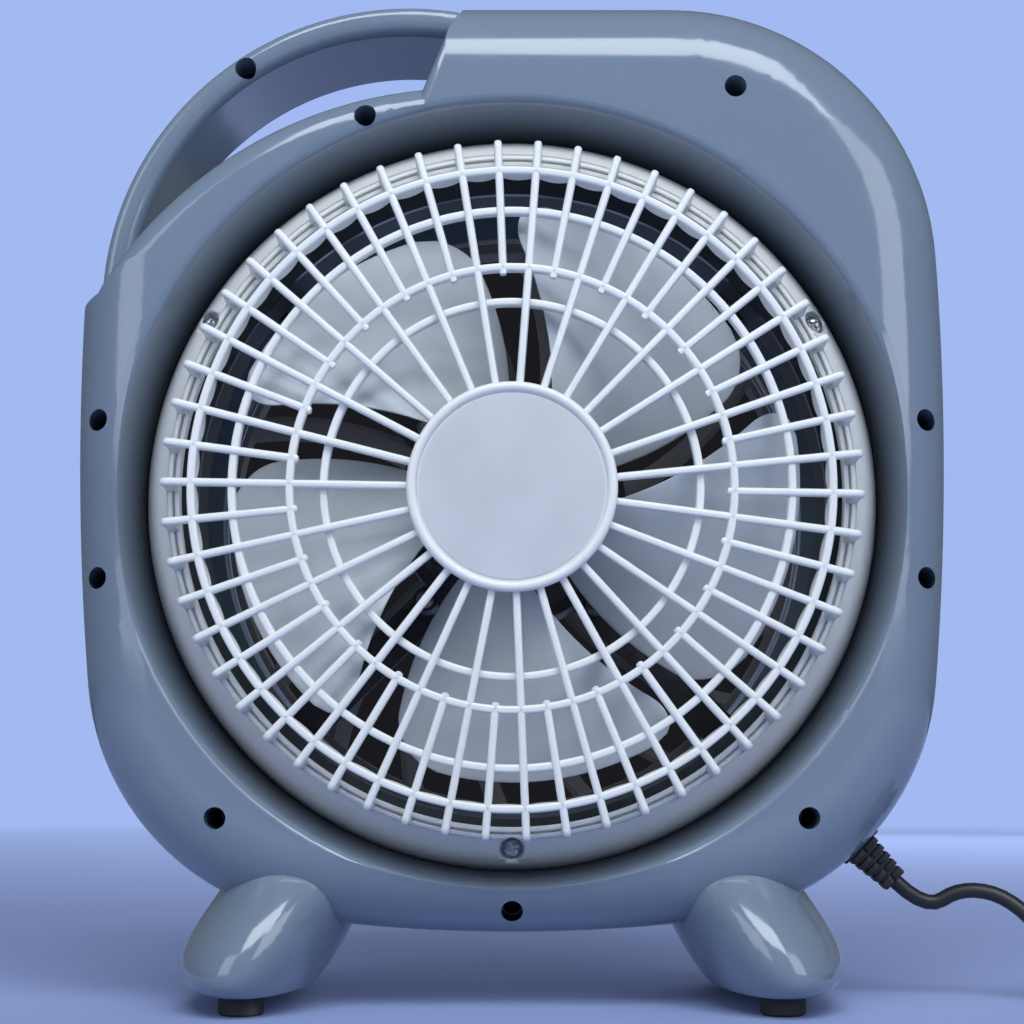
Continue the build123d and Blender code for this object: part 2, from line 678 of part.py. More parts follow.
def motor_cover(low, high, nose):
    """Drawn cover with a bush seat in its middle; high is the closed end."""
    side = 1 if high > low else -1
    t = motor_shell_t * side
    floor = high
    nose_end = floor + side * nose
    nose_line = [(motor_nose_r, floor), (motor_nose_r, nose_end)] if nose else []
    cover = turned([(motor_r, low), (motor_r, floor - 4 * side), (motor_r - 4, floor),
                    *nose_line, (bush_r, nose_end),
                    (bush_r, nose_end - side * bush_l), (bush_r + 2.5, nose_end - side * bush_l),
                    (bush_r + 2.5, floor - t), (motor_r - 5, floor - t),
                    (motor_r - motor_shell_t, floor - 4.8 * side), (motor_r - motor_shell_t, low)])
    ears = []
    for x, y in motor_places:
        ears.append(post(x, y, motor_ear_r, *sorted((low, low + side * motor_ear_h))))
    cover += ears
    cover -= ring(0, motor_r - motor_shell_t, *sorted((low, low + side * motor_ear_h)))
    cover -= [post(x, y, motor_bolt_hole_r, *sorted((low - side, high))) for x, y in motor_places]
    slot = Pos((motor_nose_r + motor_r) / 2, 0, floor) * Box(16, 4, 3 * motor_shell_t)
    return cover - [Rot(0, 0, 360 / vent_count * i) * slot for i in range(vent_count)]


def stator_core():
    core = ring(0, motor_r, stack_front_z, stack_rear_z)
    core += [post(x, y, motor_ear_r, stack_front_z, stack_rear_z) for x, y in motor_places]
    core -= ring(0, stack_bore_r, stack_front_z - 1, stack_rear_z + 1)
    return core - [post(x, y, motor_bolt_hole_r, stack_front_z - 1, stack_rear_z + 1) for x, y in motor_places]


def stator_windings():
    coils = []
    for low, high in ((stack_rear_z, stack_rear_z + winding_h), (stack_front_z - winding_h, stack_front_z)):
        coil = ring(winding_in_r, winding_out_r, low, high)
        coils.append(fillet(coil.edges().filter_by(GeomType.CIRCLE), 2.5))
    return joined(coils)


def rotor_core():
    r = stack_bore_r - rotor_gap
    low, high = stack_front_z - rotor_end_h, stack_rear_z + rotor_end_h
    return turned([(shaft_r, low), (r - 4, low), (r - 4, stack_front_z), (r, stack_front_z), (r, stack_rear_z),
                   (r - 4, stack_rear_z), (r - 4, high), (shaft_r, high)])


def motor_shaft():
    return turned([(0, shaft_front_z + 1.5), (shaft_r - 0.6, shaft_front_z + 1.5), (shaft_r, shaft_front_z + 2.1),
                   (shaft_r, shaft_rear_z - 0.8), (shaft_r - 0.8, shaft_rear_z), (0, shaft_rear_z)])


bush_rear_top = motor_rear_z + motor_nose_h


def motor_bracket():
    body = ring(0, bracket_hub_r, ledge_z, ledge_z + bracket_t)
    arm = Pos((bracket_screw_r + 5) / 2, 0, ledge_z + bracket_t / 2) * Box(bracket_screw_r + 5, bracket_arm_w, bracket_t)
    body += [Rot(0, 0, angle) * arm for angle in bracket_angles]
    body -= ring(0, 8, ledge_z - 1, ledge_z + bracket_t + 1)
    body -= [post(*polar(bracket_screw_r, a), bracket_hole_r, ledge_z - 1, 0) for a in bracket_angles]
    body -= [post(x, y, motor_bolt_hole_r, ledge_z - 1, 0) for x, y in motor_places]
    screws = [(drive_screw_pitch * s, 0) for s in (-1, 1)]
    return body - [post(x, y, motor_bolt_r, ledge_z - 1, 0) for x, y in screws]


def motor_bolts():
    head_seat = stack_rear_z + motor_ear_h
    bolts = []
    for x, y in motor_places:
        bolt = pan_screw(x, y, motor_bolt_head_r, motor_bolt_head_h, motor_bolt_r, head_seat,
                         head_seat - ledge_z + 2.6)
        nut = make_face(Pos(x, y) * RegularPolygon(motor_bolt_head_r, 6))
        nut = Pos(0, 0, ledge_z - 2.2) * extrude(nut, 2.2)
        bolts.append(bolt + nut)
    return joined(bolts)


# Louvre drive and louvre

def louvre_motor_case():
    top = ledge_z
    case = turned([(drive_shaft_r + running_gap, top), (drive_r, top), (drive_r, top - drive_h + 1),
                   (drive_r - 1, top - drive_h), (6, top - drive_h), (6, top - drive_h - 1.5),
                   (drive_shaft_r + running_gap, top - drive_h - 1.5)])
    return case - [post(s * drive_screw_pitch, 0, motor_bolt_r, top - drive_h - 1, top + 1) for s in (-1, 1)]


def louvre_shaft():
    tip = louvre_plate_z + 0.5
    return ring(0, drive_shaft_r, tip, ledge_z - 2) - post(0, 0, 1.3, tip - 1, tip + 5)


def louvre_frame():
    """Rim and hub cup of the louvre, tied together by its fins."""
    w = louvre_hub_wall
    plate = louvre_plate_z
    hub = turned([(louvre_hub_r, louvre_rear_z), (louvre_hub_r, plate + 2), (louvre_hub_r - 2, plate),
                  (drive_shaft_r, plate), (drive_shaft_r, plate + 6), (drive_shaft_r + 3, plate + 6),
                  (drive_shaft_r + 3, plate + w), (louvre_hub_r - w - 1, plate + w),
                  (louvre_hub_r - w, plate + w + 1), (louvre_hub_r - w, louvre_rear_z)])
    return joined([hub, ring(louvre_rim_r - louvre_rim_w, louvre_rim_r, louvre_front_z, louvre_rear_z)])


def louvre_fins():
    """Tilted fins swept from the hub to the rim."""
    depth = louvre_rear_z - louvre_front_z
    inner, outer = louvre_hub_r, louvre_rim_r - louvre_rim_w
    start, end = inner - 3, outer + 3
    line = ThreePointArc(polar(start, 0), polar((start + end) / 2, louvre_sweep * 0.32), polar(end, louvre_sweep))
    lean = math.radians(louvre_tilt)
    strip = make_face(trace(line, louvre_t / math.cos(lean)).edges())
    fin = extrude(strip, (depth - 0.8) / math.cos(lean), dir=(0, math.sin(lean), -math.cos(lean)))
    fin = Pos(0, -math.tan(lean) * depth / 2, louvre_rear_z - 0.4) * fin
    fin = fin & ring(inner, outer, louvre_front_z, louvre_rear_z)
    return joined(Rot(0, 0, 360 / louvre_count * i) * fin for i in range(louvre_count))


def louvre_cap():
    z = louvre_plate_z
    return turned([(cap_r, z), (cap_r, z - 1), (cap_r - 3, z - cap_h + 1), (cap_r - 8, z - cap_h), (0, z - cap_h),
                   (0, z - cap_h + 1.4), (7, z - cap_h + 1.4), (7, z)])


# Controls

def knob(x, y, pointer):
    """Round knob with a raised grip bar across it, hollow behind for the fixing nut."""
    base = front_face_z + panel_inset - panel_t - knob_lift
    face = base - knob_h
    body = turned([(0, face + 2), (0, face), (knob_r - 2.5, face), (knob_r - 1, face + 1.5), (knob_r, base),
                   (collar_nut_r + 1.5, base), (collar_nut_r + 1.5, base - 3), (spindle_r, base - 3),
                   (spindle_r, face + 2)])
    bar = Pos(0, 0, face) * Box(2 * (knob_r - 3), knob_grip_w, 2 * knob_grip_h)
    bar = bar & ring(0, knob_r - 3, face - knob_grip_h, face + 1)
    return Pos(x, y, 0) * Rot(0, 0, pointer) * (body + bar)


knob_base_z = front_face_z + panel_inset - panel_t - knob_lift
switch_top_z = front_face_z + wall


def spindle(x, y, depth):
    return post(x, y, spindle_r, knob_base_z - knob_h + 2, switch_top_z + depth - 3)


def switch_case(x, y, angle, size, depth):
    """Rotary switch or timer block behind the panel with its threaded neck."""
    block = Rot(0, 0, angle) * (Pos(control_r, 0, switch_top_z + depth / 2) * Box(size, size, depth))
    neck_low = knob_base_z - 0.6
    block += post(x, y, bushing_r, neck_low, switch_top_z)
    return block - post(x, y, spindle_r + running_gap, neck_low - 1, switch_top_z + depth - 2.9)


def panel_nuts():
    nuts = []
    high = front_face_z + panel_inset - panel_t
    for x, y in control_places()[:2]:
        face = make_face(Pos(x, y) * RegularPolygon(collar_nut_r, 6))
        nut = Pos(0, 0, high - collar_nut_h) * extrude(face, collar_nut_h)
        nuts.append(nut - post(x, y, bushing_r, high - 5, high + 1))
    return joined(nuts)


def louvre_button():
    x, y = control_places()[2]
    face = front_face_z - button_h
    cap = post(x, y, button_r, face, switch_top_z)
    cap = fillet(cap.edges().filter_by(GeomType.CIRCLE).sort_by(Axis.Z)[0], 1.2)
    return cap + [post(x, y, button_flange_r, switch_top_z, switch_top_z + button_flange_h),
                  post(x, y, button_stem_r, switch_top_z, switch_top_z + 9)]


def button_switch():
    """Block behind the button, with a pocket for its flange and a bore for its stem."""
    x, y = control_places()[2]
    low = switch_top_z
    spare = button_travel + 0.5
    block = Pos(x, y, low + button_switch_depth / 2) * Rot(0, 0, button_angle) * \
        Box(button_switch_size + 3, button_switch_size, button_switch_depth)
    block -= post(x, y, button_flange_r + button_gap, low - 1, low + button_flange_h + spare)
    return block - post(x, y, button_stem_r + running_gap, low, low + 9 + spare)


# Fixed small pieces

def case_screw(x, y):
    return pan_screw(x, y, case_head_r, case_head_h, case_shank_r, case_head_seat_z,
                     case_head_seat_z + case_pilot_depth - 2)


def guard_screw_set():
    places = [polar(guard_screw_r, angle) for angle in guard_screw_angles]
    return joined(pan_screw(x, y, guard_head_r, guard_head_h, guard_shank_r, guard_screw_z,
                            guard_screw_z - seat_z + guard_boss_h - 4) for x, y in places)


def bracket_screw_set():
    places = [polar(bracket_screw_r, angle) for angle in bracket_angles]
    return joined(pan_screw(x, y, bracket_head_r, bracket_head_h, motor_bolt_r, ledge_z + bracket_t, 13)
                  for x, y in places)


def drive_screw_set():
    return joined(pan_screw(s * drive_screw_pitch, 0, motor_bolt_head_r, motor_bolt_head_h, motor_bolt_r,
                            ledge_z - drive_h, drive_h + bracket_t - 0.3, facing=-1) for s in (-1, 1))


def label_disc():
    return ring(0, label_r, guard_z + hub_rise - 1.6, guard_z + hub_rise - 1.6 + label_t)


def foot_pads():
    pads = []
    for side in (-1, 1):
        for z in (pad_z, -pad_z):
            plane = Plane(origin=(side * foot_sole_x, -axis_height, z), z_dir=(0, 1, 0))
            height = foot_sole_y + axis_height
            low = (Align.CENTER, Align.CENTER, Align.MIN)
            pad = Cylinder(pad_r, height, align=low)
            pad = chamfer(pad.edges().group_by(Axis.Z)[0], 0.8)
            pad -= Cylinder(pad_recess_r, pad_recess_h, align=low) + Cylinder(pad_screw_r, height, align=low)
            pads.append(plane * pad)
    return joined(pads)


def pad_screw_set():
    screws = []
    for side in (-1, 1):
        for z in (pad_z, -pad_z):
            plane = Plane(origin=(side * foot_sole_x, -axis_height + pad_recess_h, z), z_dir=(0, -1, 0))
            screws.append(plane * pan_screw(0, 0, pad_screw_head_r, pad_screw_head_h, pad_screw_r, 0, pad_screw_l))
    return joined(screws)


def foot_screw_set():
    screws = []
    for x in (-foot_sole_x, foot_sole_x):
        for z in (foot_screw_z, -foot_screw_z):
            plane = Plane(origin=(x, foot_screw_seat_y, z), z_dir=(0, -1, 0))
            screws.append(plane * pan_screw(0, 0, case_head_r, case_head_h, case_shank_r, 0, foot_screw_l))
    return joined(screws)


def capacitor():
    top = case_top - wall
    body = Pos(capacitor_x, top - capacitor_h / 2, capacitor_z) * Box(capacitor_l, capacitor_h, capacitor_w)
    return fillet(body.edges().filter_by(Axis.Y), 2.0)


# Mains lead

def strain_relief():
    flange = relief_block(relief_w, relief_h, 0, relief_t)
    flange = fillet(flange.edges().filter_by(lambda e: abs(e.length - relief_t) < 0.01), 2.0)
    neck = relief_block(relief_neck_w, relief_neck_h, -wall - 0.6, 0)
    inner = relief_block(relief_neck_w + 3, relief_neck_h + 3, -wall - 2.6, -wall - 0.6)
    sections = []
    for height, width, thick in ((relief_t, boot_w, 8.0), (relief_t + boot_l, boot_tip_w, 6.4)):
        plane = relief_plane * Pos(0, 0, height)
        sections.append(plane * make_face(RectangleRounded(width, thick, 2.4)))
    return flange + [neck, inner, loft(sections)]


relief_end = relief_plane.from_local_coords(Vector(0, 0, relief_t + boot_l))
lead_run = relief_plane.from_local_coords(Vector(0, 0, relief_t + boot_l + lead_straight))
coil_floor = -axis_height
cord_path = [(relief_end.X, relief_end.Y, lead_z), (lead_run.X, lead_run.Y, lead_z), (163.0, -143.5, 3.0),
             (180.0, -147.5, 9.0), (195.0, -161.0, 17.0), (208.0, -174.0, 26.5), (222.0, cord_floor, 34.5),
             (coil_x, cord_floor, coil_z + coil_mid_r)]


def swept_cord(points):
    """Round tube along straight runs joined by tangent arcs."""
    vectors = [Vector(*point) for point in points]
    radii = []
    for before, here, after in zip(vectors, vectors[1:], vectors[2:]):
        a, b = here - before, after - here
        turn = math.radians(a.get_angle(b))
        radii.append(0.45 * min(a.length, b.length) / math.tan(turn / 2))
    print("cord bend radii, mm:", [round(r, 1) for r in radii])
    path = FilletPolyline(*points, radius=radii)
    start = vectors[1] - vectors[0]
    section = Plane(origin=points[0], z_dir=start.normalized()) * make_face(Circle(cord_r))
    tube = sweep(section, path=path.wire())
    print("cord tube length", round(path.wire().length, 1), "volume ratio",
          round(tube.volume / (math.pi * cord_r ** 2 * path.wire().length), 4))
    return tube


def lying_ring(inner, outer, low, high):
    """Ring with a vertical axis, standing at the coil's place."""
    plane = Plane(origin=(coil_x, low, coil_z), z_dir=(0, 1, 0))
    align = (Align.CENTER, Align.CENTER, Align.MIN)
    return plane * (Cylinder(outer, high - low, align=align) - Cylinder(inner, high - low, align=align))


def cord_coil():
    coil = lying_ring(coil_mid_r - coil_width / 2, coil_mid_r + coil_width / 2, coil_floor,
                      coil_floor + coil_height)
    return chamfer(coil.edges().filter_by(GeomType.CIRCLE), 2.5)


plug_y = coil_floor + plug_h / 2
plug_end_z = coil_z - coil_mid_r - 12
plug_x = coil_x + coil_mid_r


def cord_tail():
    start = coil_z - 12
    return Pos(plug_x, plug_y, plug_end_z) * Cylinder(cord_r, start - plug_end_z,
                                                      align=(Align.CENTER, Align.CENTER, Align.MIN))


def plug_body():
    sections = []
    for z, width, height in ((plug_end_z, 2.6 * cord_r, 2.4 * cord_r), (plug_end_z - 12, 0.75 * plug_w, plug_h - 1),
                             (plug_end_z - plug_l, plug_w, plug_h)):
        face = make_face(RectangleRounded(width, height, 0.4 * height))
        sections.append(Pos(plug_x, plug_y, z) * face)
    return loft(sections, ruled=True)


def plug_pins():
    pins = []
    for side in (-1, 1):
        pin = Pos(plug_x + side * pin_pitch / 2, plug_y, plug_end_z - plug_l - pin_l) * \
            Cylinder(pin_r, pin_l, align=(Align.CENTER, Align.CENTER, Align.MIN))
        pins.append(chamfer(pin.edges().filter_by(GeomType.CIRCLE).sort_by(Axis.Z)[0], 1.0))
    return joined(pins)


speed_place, timer_place, button_place = control_places()
write("rear_shell", rear_shell())
write("intake_funnel", intake_funnel())
write("intake_duct", ring(duct_r, duct_r + duct_wall, 0, seat_z - funnel_wall))
write("front_shell", front_shell())
write("outlet_collar", outlet_collar())
write("handle_rear", handle_rear())
write("handle_front", handle_front())
write("foot_left", foot_piece(-1))
write("foot_right", foot_piece(1))
write("foot_screws", foot_screw_set())
write("control_panel", control_panel())
write("guard_grille", guard_grille())
write("guard_rim", guard_rim())
write("label_disc", label_disc())
write("guard_screws", guard_screw_set())
write("case_screws", joined(case_screw(x, y) for x, y in case_screws))
write("handle_screw", case_screw(*handle_screw))
write("foot_pads", foot_pads())
write("pad_screws", pad_screw_set())
write("fan_blade", fan_blade())
write("blade_nut", blade_nut())
write("motor_shaft", motor_shaft())
write("rotor_core", rotor_core())
write("motor_cover_rear", motor_cover(stack_rear_z, motor_rear_z, motor_nose_h))
write("motor_cover_front", motor_cover(stack_front_z, motor_front_z, 0))
write("stator_core", stator_core())
write("stator_windings", stator_windings())
write("bush_rear", ring(shaft_r + running_gap, bush_r, bush_rear_top - bush_l, bush_rear_top))
write("bush_front", ring(shaft_r + running_gap, bush_r, motor_front_z, motor_front_z + bush_l))
write("motor_bracket", motor_bracket())
write("motor_bolts", motor_bolts())
write("bracket_screws", bracket_screw_set())
write("louvre_motor", louvre_motor_case())
write("louvre_motor_screws", drive_screw_set())
write("louvre_shaft", louvre_shaft())
write("louvre_frame", louvre_frame())
write("louvre_fins", louvre_fins())
write("louvre_cap", louvre_cap())
write("louvre_screw", pan_screw(0, 0, 4.0, 1.8, 1.3, louvre_plate_z, 4.5, facing=-1))
write("speed_knob", knob(*speed_place, 0))
write("timer_knob", knob(*timer_place, 0))
write("speed_spindle", spindle(*speed_place, switch_depth))
write("timer_spindle", spindle(*timer_place, timer_depth))
write("speed_switch", switch_case(*speed_place, speed_angle, switch_size, switch_depth))
write("timer", switch_case(*timer_place, timer_angle, timer_size, timer_depth))
write("panel_nuts", panel_nuts())
write("louvre_button", louvre_button())
write("button_switch", button_switch())
write("capacitor", capacitor())
write("strain_relief", strain_relief())
write("mains_cord", swept_cord(cord_path))
write("cord_coil", cord_coil())
write("cord_tail", cord_tail())
write("plug_body", plug_body())
write("plug_pins", plug_pins())
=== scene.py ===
import bmesh
import bpy
import json
import math
from mathutils import Matrix, Vector


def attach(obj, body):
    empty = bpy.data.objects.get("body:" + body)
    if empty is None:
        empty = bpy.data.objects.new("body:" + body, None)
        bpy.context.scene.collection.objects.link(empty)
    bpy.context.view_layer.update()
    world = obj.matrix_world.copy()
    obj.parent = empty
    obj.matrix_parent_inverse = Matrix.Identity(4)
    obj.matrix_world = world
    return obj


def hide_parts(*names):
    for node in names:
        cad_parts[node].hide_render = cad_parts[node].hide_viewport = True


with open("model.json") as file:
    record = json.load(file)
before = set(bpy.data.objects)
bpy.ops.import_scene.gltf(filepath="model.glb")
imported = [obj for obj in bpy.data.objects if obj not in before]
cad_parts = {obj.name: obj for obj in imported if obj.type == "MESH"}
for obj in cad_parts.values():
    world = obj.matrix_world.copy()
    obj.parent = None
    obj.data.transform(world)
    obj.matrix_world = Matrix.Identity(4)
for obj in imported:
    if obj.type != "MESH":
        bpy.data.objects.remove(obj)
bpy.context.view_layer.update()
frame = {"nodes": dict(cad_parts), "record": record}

# Pieces are drawn about the fan's axis in millimetres: x right, y up, z to the rear.
# standUp puts them in the scene, with the rear towards the camera.
mm = 0.001
axisHeight = 0.179
standUp = Matrix(((mm, 0, 0, 0), (0, 0, -mm, 0), (0, mm, 0, axisHeight), (0, 0, 0, 1)))


def polar(radius, degrees, z=0.0):
    angle = math.radians(degrees)
    return Vector((radius * math.cos(angle), radius * math.sin(angle), z))


# Camera and stage

view = {
    "place": (0.0, -0.660, 0.083),
    "pitch": 2.5,
    "lens": 62.8,
    "shift": 0.177,
    "paper": (0.36, 0.49, 0.88),
}


def setCamera():
    data = bpy.data.cameras.new("camera")
    data.sensor_width = 36
    data.lens = view["lens"]
    data.shift_y = view["shift"]
    camera = bpy.data.objects.new("camera", data)
    camera.location = view["place"]
    camera.rotation_euler = (math.radians(90 + view["pitch"]), 0, 0)
    bpy.context.collection.objects.link(camera)
    bpy.context.scene.camera = camera


setCamera()
print("camera set")


# Materials

def newMaterial(name):
    material = bpy.data.materials.new(name)
    material.use_nodes = True
    nodes = material.node_tree.nodes
    return material, nodes, material.node_tree.links, nodes["Principled BSDF"]


grit = {
    "cloud": (14, 4),  # scale and detail of each noise
    "smear": (60, 6),
    "grain": (1400, 2),
    "mottleSpan": (0.3, 0.7),
    "dustSpan": (0.58, 0.78),
    "dustColor": (0.42, 0.41, 0.38),
    # painted shade: colour factor at the bottom of the groove round the guard
    "darkestPaintedShade": 0.06,
    "bumpHeight": 0.0002,
    "coatRoughness": 0.06,
    "scatter": (0.004, 0.003, 0.002),
}


def noiseNode(nodes, links, place, kind):
    texture = nodes.new("ShaderNodeTexNoise")
    texture.inputs["Scale"].default_value, texture.inputs["Detail"].default_value = grit[kind]
    links.new(place.outputs["Object"], texture.inputs["Vector"])
    return texture


def mathNode(nodes, links, operation, *sources):
    node = nodes.new("ShaderNodeMath")
    node.operation = operation
    for socket, source in zip(node.inputs, sources):
        links.new(source, socket)
    return node


def spanNode(nodes, span=(0.0, 1.0)):
    node = nodes.new("ShaderNodeMapRange")
    node.inputs["From Min"].default_value, node.inputs["From Max"].default_value = span
    return node


def colorMix(nodes, blend="MIX"):
    node = nodes.new("ShaderNodeMix")
    node.data_type = "RGBA"
    node.blend_type = blend
    if blend == "MULTIPLY":
        node.inputs["Factor"].default_value = 1.0
    return node


def mouldedPlasticGroup():
    group = bpy.data.node_groups.new("mouldedPlastic", "ShaderNodeTree")
    sockets = group.interface
    sockets.new_socket("Color", in_out="INPUT", socket_type="NodeSocketColor")
    for name in ("Mottle", "Gloss", "Smudge", "Grain", "Dust"):
        sockets.new_socket(name, in_out="INPUT", socket_type="NodeSocketFloat")
    sockets.new_socket("Color", in_out="OUTPUT", socket_type="NodeSocketColor")
    for name in ("Roughness", "Height"):
        sockets.new_socket(name, in_out="OUTPUT", socket_type="NodeSocketFloat")
    nodes, links = group.nodes, group.links
    inputs, outputs = nodes.new("NodeGroupInput"), nodes.new("NodeGroupOutput")
    place = nodes.new("ShaderNodeTexCoord")
    cloud, smear, grain = (noiseNode(nodes, links, place, kind) for kind in ("cloud", "smear", "grain"))
    darker = spanNode(nodes, grit["mottleSpan"])
    links.new(cloud.outputs["Fac"], darker.inputs["Value"])
    low = mathNode(nodes, links, "SUBTRACT")
    low.inputs[0].default_value = 1.0
    links.new(inputs.outputs["Mottle"], low.inputs[1])
    links.new(low.outputs[0], darker.inputs["To Min"])
    tint = colorMix(nodes, "MULTIPLY")
    links.new(inputs.outputs["Color"], tint.inputs[6])
    links.new(darker.outputs["Result"], tint.inputs[7])
    dustMask = spanNode(nodes, grit["dustSpan"])
    links.new(smear.outputs["Fac"], dustMask.inputs["Value"])
    dustAmount = mathNode(nodes, links, "MULTIPLY", dustMask.outputs["Result"], inputs.outputs["Dust"])
    dusty = colorMix(nodes)
    dusty.inputs[7].default_value = (*grit["dustColor"], 1)
    links.new(dustAmount.outputs[0], dusty.inputs["Factor"])
    links.new(tint.outputs[2], dusty.inputs[6])
    links.new(dusty.outputs[2], outputs.inputs["Color"])
    rough = mathNode(nodes, links, "MULTIPLY_ADD", smear.outputs["Fac"], inputs.outputs["Smudge"],
                     inputs.outputs["Gloss"])
    links.new(rough.outputs[0], outputs.inputs["Roughness"])
    height = mathNode(nodes, links, "MULTIPLY", grain.outputs["Fac"], inputs.outputs["Grain"])
    links.new(height.outputs[0], outputs.inputs["Height"])
    return group


# Painted shade: darker towards the bottom of the groove round the guard, where shade falls
def paintedDepthShadeGroup():
    group = bpy.data.node_groups.new("paintedDepthShade", "ShaderNodeTree")
    sockets = group.interface
    sockets.new_socket("Color", in_out="INPUT", socket_type="NodeSocketColor")
    for name in ("Inner", "Outer"):
        sockets.new_socket(name, in_out="INPUT", socket_type="NodeSocketFloat")
    sockets.new_socket("Color", in_out="OUTPUT", socket_type="NodeSocketColor")
    nodes, links = group.nodes, group.links
    inputs, outputs = nodes.new("NodeGroupInput"), nodes.new("NodeGroupOutput")
    place = nodes.new("ShaderNodeTexCoord")
    parts = nodes.new("ShaderNodeSeparateXYZ")
    span = spanNode(nodes)
    span.inputs["To Min"].default_value = grit["darkestPaintedShade"]
    shade = colorMix(nodes, "MULTIPLY")
    links.new(place.outputs["Object"], parts.inputs[0])
    links.new(parts.outputs["Y"], span.inputs["Value"])
    links.new(inputs.outputs["Inner"], span.inputs["From Min"])
    links.new(inputs.outputs["Outer"], span.inputs["From Max"])
    links.new(inputs.outputs["Color"], shade.inputs[6])
    links.new(span.outputs["Result"], shade.inputs[7])
    links.new(shade.outputs[2], outputs.inputs["Color"])
    return group


moulded = mouldedPlasticGroup()
paintedDepthShade = paintedDepthShadeGroup()


def plastic(name, color, mottle=0.05, gloss=0.2, smudge=0.08, grain=0.2, dust=0.1, bump=0.1, coat=0.0,
            subsurface=0.0, metallic=0.0, deep=None):
    material, nodes, links, shader = newMaterial(name)
    surface = nodes.new("ShaderNodeGroup")
    surface.node_tree = moulded
    surface.inputs["Color"].default_value = (*color, 1)
    for socket, value in (("Mottle", mottle), ("Gloss", gloss), ("Smudge", smudge), ("Grain", grain),
                          ("Dust", dust)):
        surface.inputs[socket].default_value = value
    tone = surface.outputs["Color"]
    # painted shade: deep darkens the colour towards the bottom of the groove
    if deep:
        depthShade = nodes.new("ShaderNodeGroup")
        depthShade.node_tree = paintedDepthShade
        depthShade.inputs["Inner"].default_value, depthShade.inputs["Outer"].default_value = deep
        links.new(tone, depthShade.inputs["Color"])
        tone = depthShade.outputs["Color"]
    links.new(tone, shader.inputs["Base Color"])
    links.new(surface.outputs["Roughness"], shader.inputs["Roughness"])
    relief = nodes.new("ShaderNodeBump")
    relief.inputs["Strength"].default_value = bump
    relief.inputs["Distance"].default_value = grit["bumpHeight"]
    links.new(surface.outputs["Height"], relief.inputs["Height"])
    links.new(relief.outputs["Normal"], shader.inputs["Normal"])
    shader.inputs["Coat Weight"].default_value = coat
    shader.inputs["Coat Roughness"].default_value = grit["coatRoughness"]
    shader.inputs["Metallic"].default_value = metallic
    if subsurface:
        shader.inputs["Subsurface Weight"].default_value = subsurface
        shader.inputs["Subsurface Radius"].default_value = grit["scatter"]
    return material


finishes = {
    "case": plastic("greyGreenCase", (0.178, 0.226, 0.292), mottle=0.04, gloss=0.11, smudge=0.10, dust=0.06,
                    bump=0.05, coat=0.45),
    # The funnel is the case's plastic with painted shade towards the bottom of the groove
    "funnel": plastic("greyGreenFunnelWithPaintedShade", (0.178, 0.226, 0.292), mottle=0.04, gloss=0.16, smudge=0.10, dust=0.06,
                      bump=0.05, coat=0.4, deep=(-0.018, -0.051)),
    # Painted shade: the duct's grey-green plastic is coloured near black, as the inside of the fan lies in shade
    "duct": plastic("shadedDuct", (0.022, 0.028, 0.036), mottle=0.1, gloss=0.45, dust=0.05),
    "guard": plastic("ivoryGuard", (0.78, 0.785, 0.77), mottle=0.06, gloss=0.30, smudge=0.15, dust=0.12, coat=0.2,
                     subsurface=0.15),
    "blade": plastic("milkyBlade", (0.54, 0.57, 0.60), mottle=0.07, gloss=0.34, smudge=0.2, dust=0.2,
                     subsurface=0.3),
    "knob": plastic("ivoryKnob", (0.74, 0.71, 0.64), mottle=0.03, gloss=0.22, dust=0.05, coat=0.3),
    "panel": plastic("panelPlastic", (0.60, 0.62, 0.60), mottle=0.03, gloss=0.35, dust=0.05),
    "label": plastic("silverLabel", (0.70, 0.71, 0.74), mottle=0.06, gloss=0.26, smudge=0.2, dust=0.04,
                     metallic=0.35),
    "dark_plastic": plastic("blackPhenolic", (0.018, 0.018, 0.02), gloss=0.45, dust=0.1),
    "zinc": plastic("zincPlate", (0.55, 0.56, 0.58), mottle=0.2, gloss=0.25, smudge=0.2, dust=0.1, metallic=1.0),
    "dark_steel": plastic("blackedSteel", (0.05, 0.05, 0.055), mottle=0.2, gloss=0.38, smudge=0.2, dust=0.3,
                          metallic=0.6),
    "steel": plastic("groundSteel", (0.48, 0.48, 0.49), mottle=0.1, gloss=0.22, smudge=0.15, metallic=1.0),
    "core": plastic("laminatedCore", (0.14, 0.145, 0.155), mottle=0.3, gloss=0.45, metallic=0.7, dust=0.3),
    "winding": plastic("woundTape", (0.55, 0.50, 0.38), mottle=0.2, gloss=0.6, dust=0.2, bump=0.6),
    "bush": plastic("sinteredBrass", (0.50, 0.36, 0.16), mottle=0.2, gloss=0.35, metallic=1.0),
    "rubber": plastic("blackRubber", (0.016, 0.016, 0.018), mottle=0.1, gloss=0.6, smudge=0.2, dust=0.25,
                      bump=0.4),
    "cord": plastic("blackVinyl", (0.014, 0.014, 0.016), mottle=0.1, gloss=0.36, smudge=0.15, dust=0.12, bump=0.3),
    "pins": plastic("platedBrass", (0.66, 0.58, 0.40), mottle=0.1, gloss=0.22, metallic=1.0),
}
print("materials made")


def shadeSmooth(bm, sharp):
    for face in bm.faces:
        face.smooth = True
    for edge in bm.edges:
        if len(edge.link_faces) == 2 and edge.calc_face_angle(0) > math.radians(sharp):
            edge.smooth = False


def meshObject(bm, name, material):
    mesh = bpy.data.meshes.new(name)
    bm.to_mesh(mesh)
    bm.free()
    mesh.materials.append(material)
    made = bpy.data.objects.new(name, mesh)
    bpy.context.collection.objects.link(made)
    return made


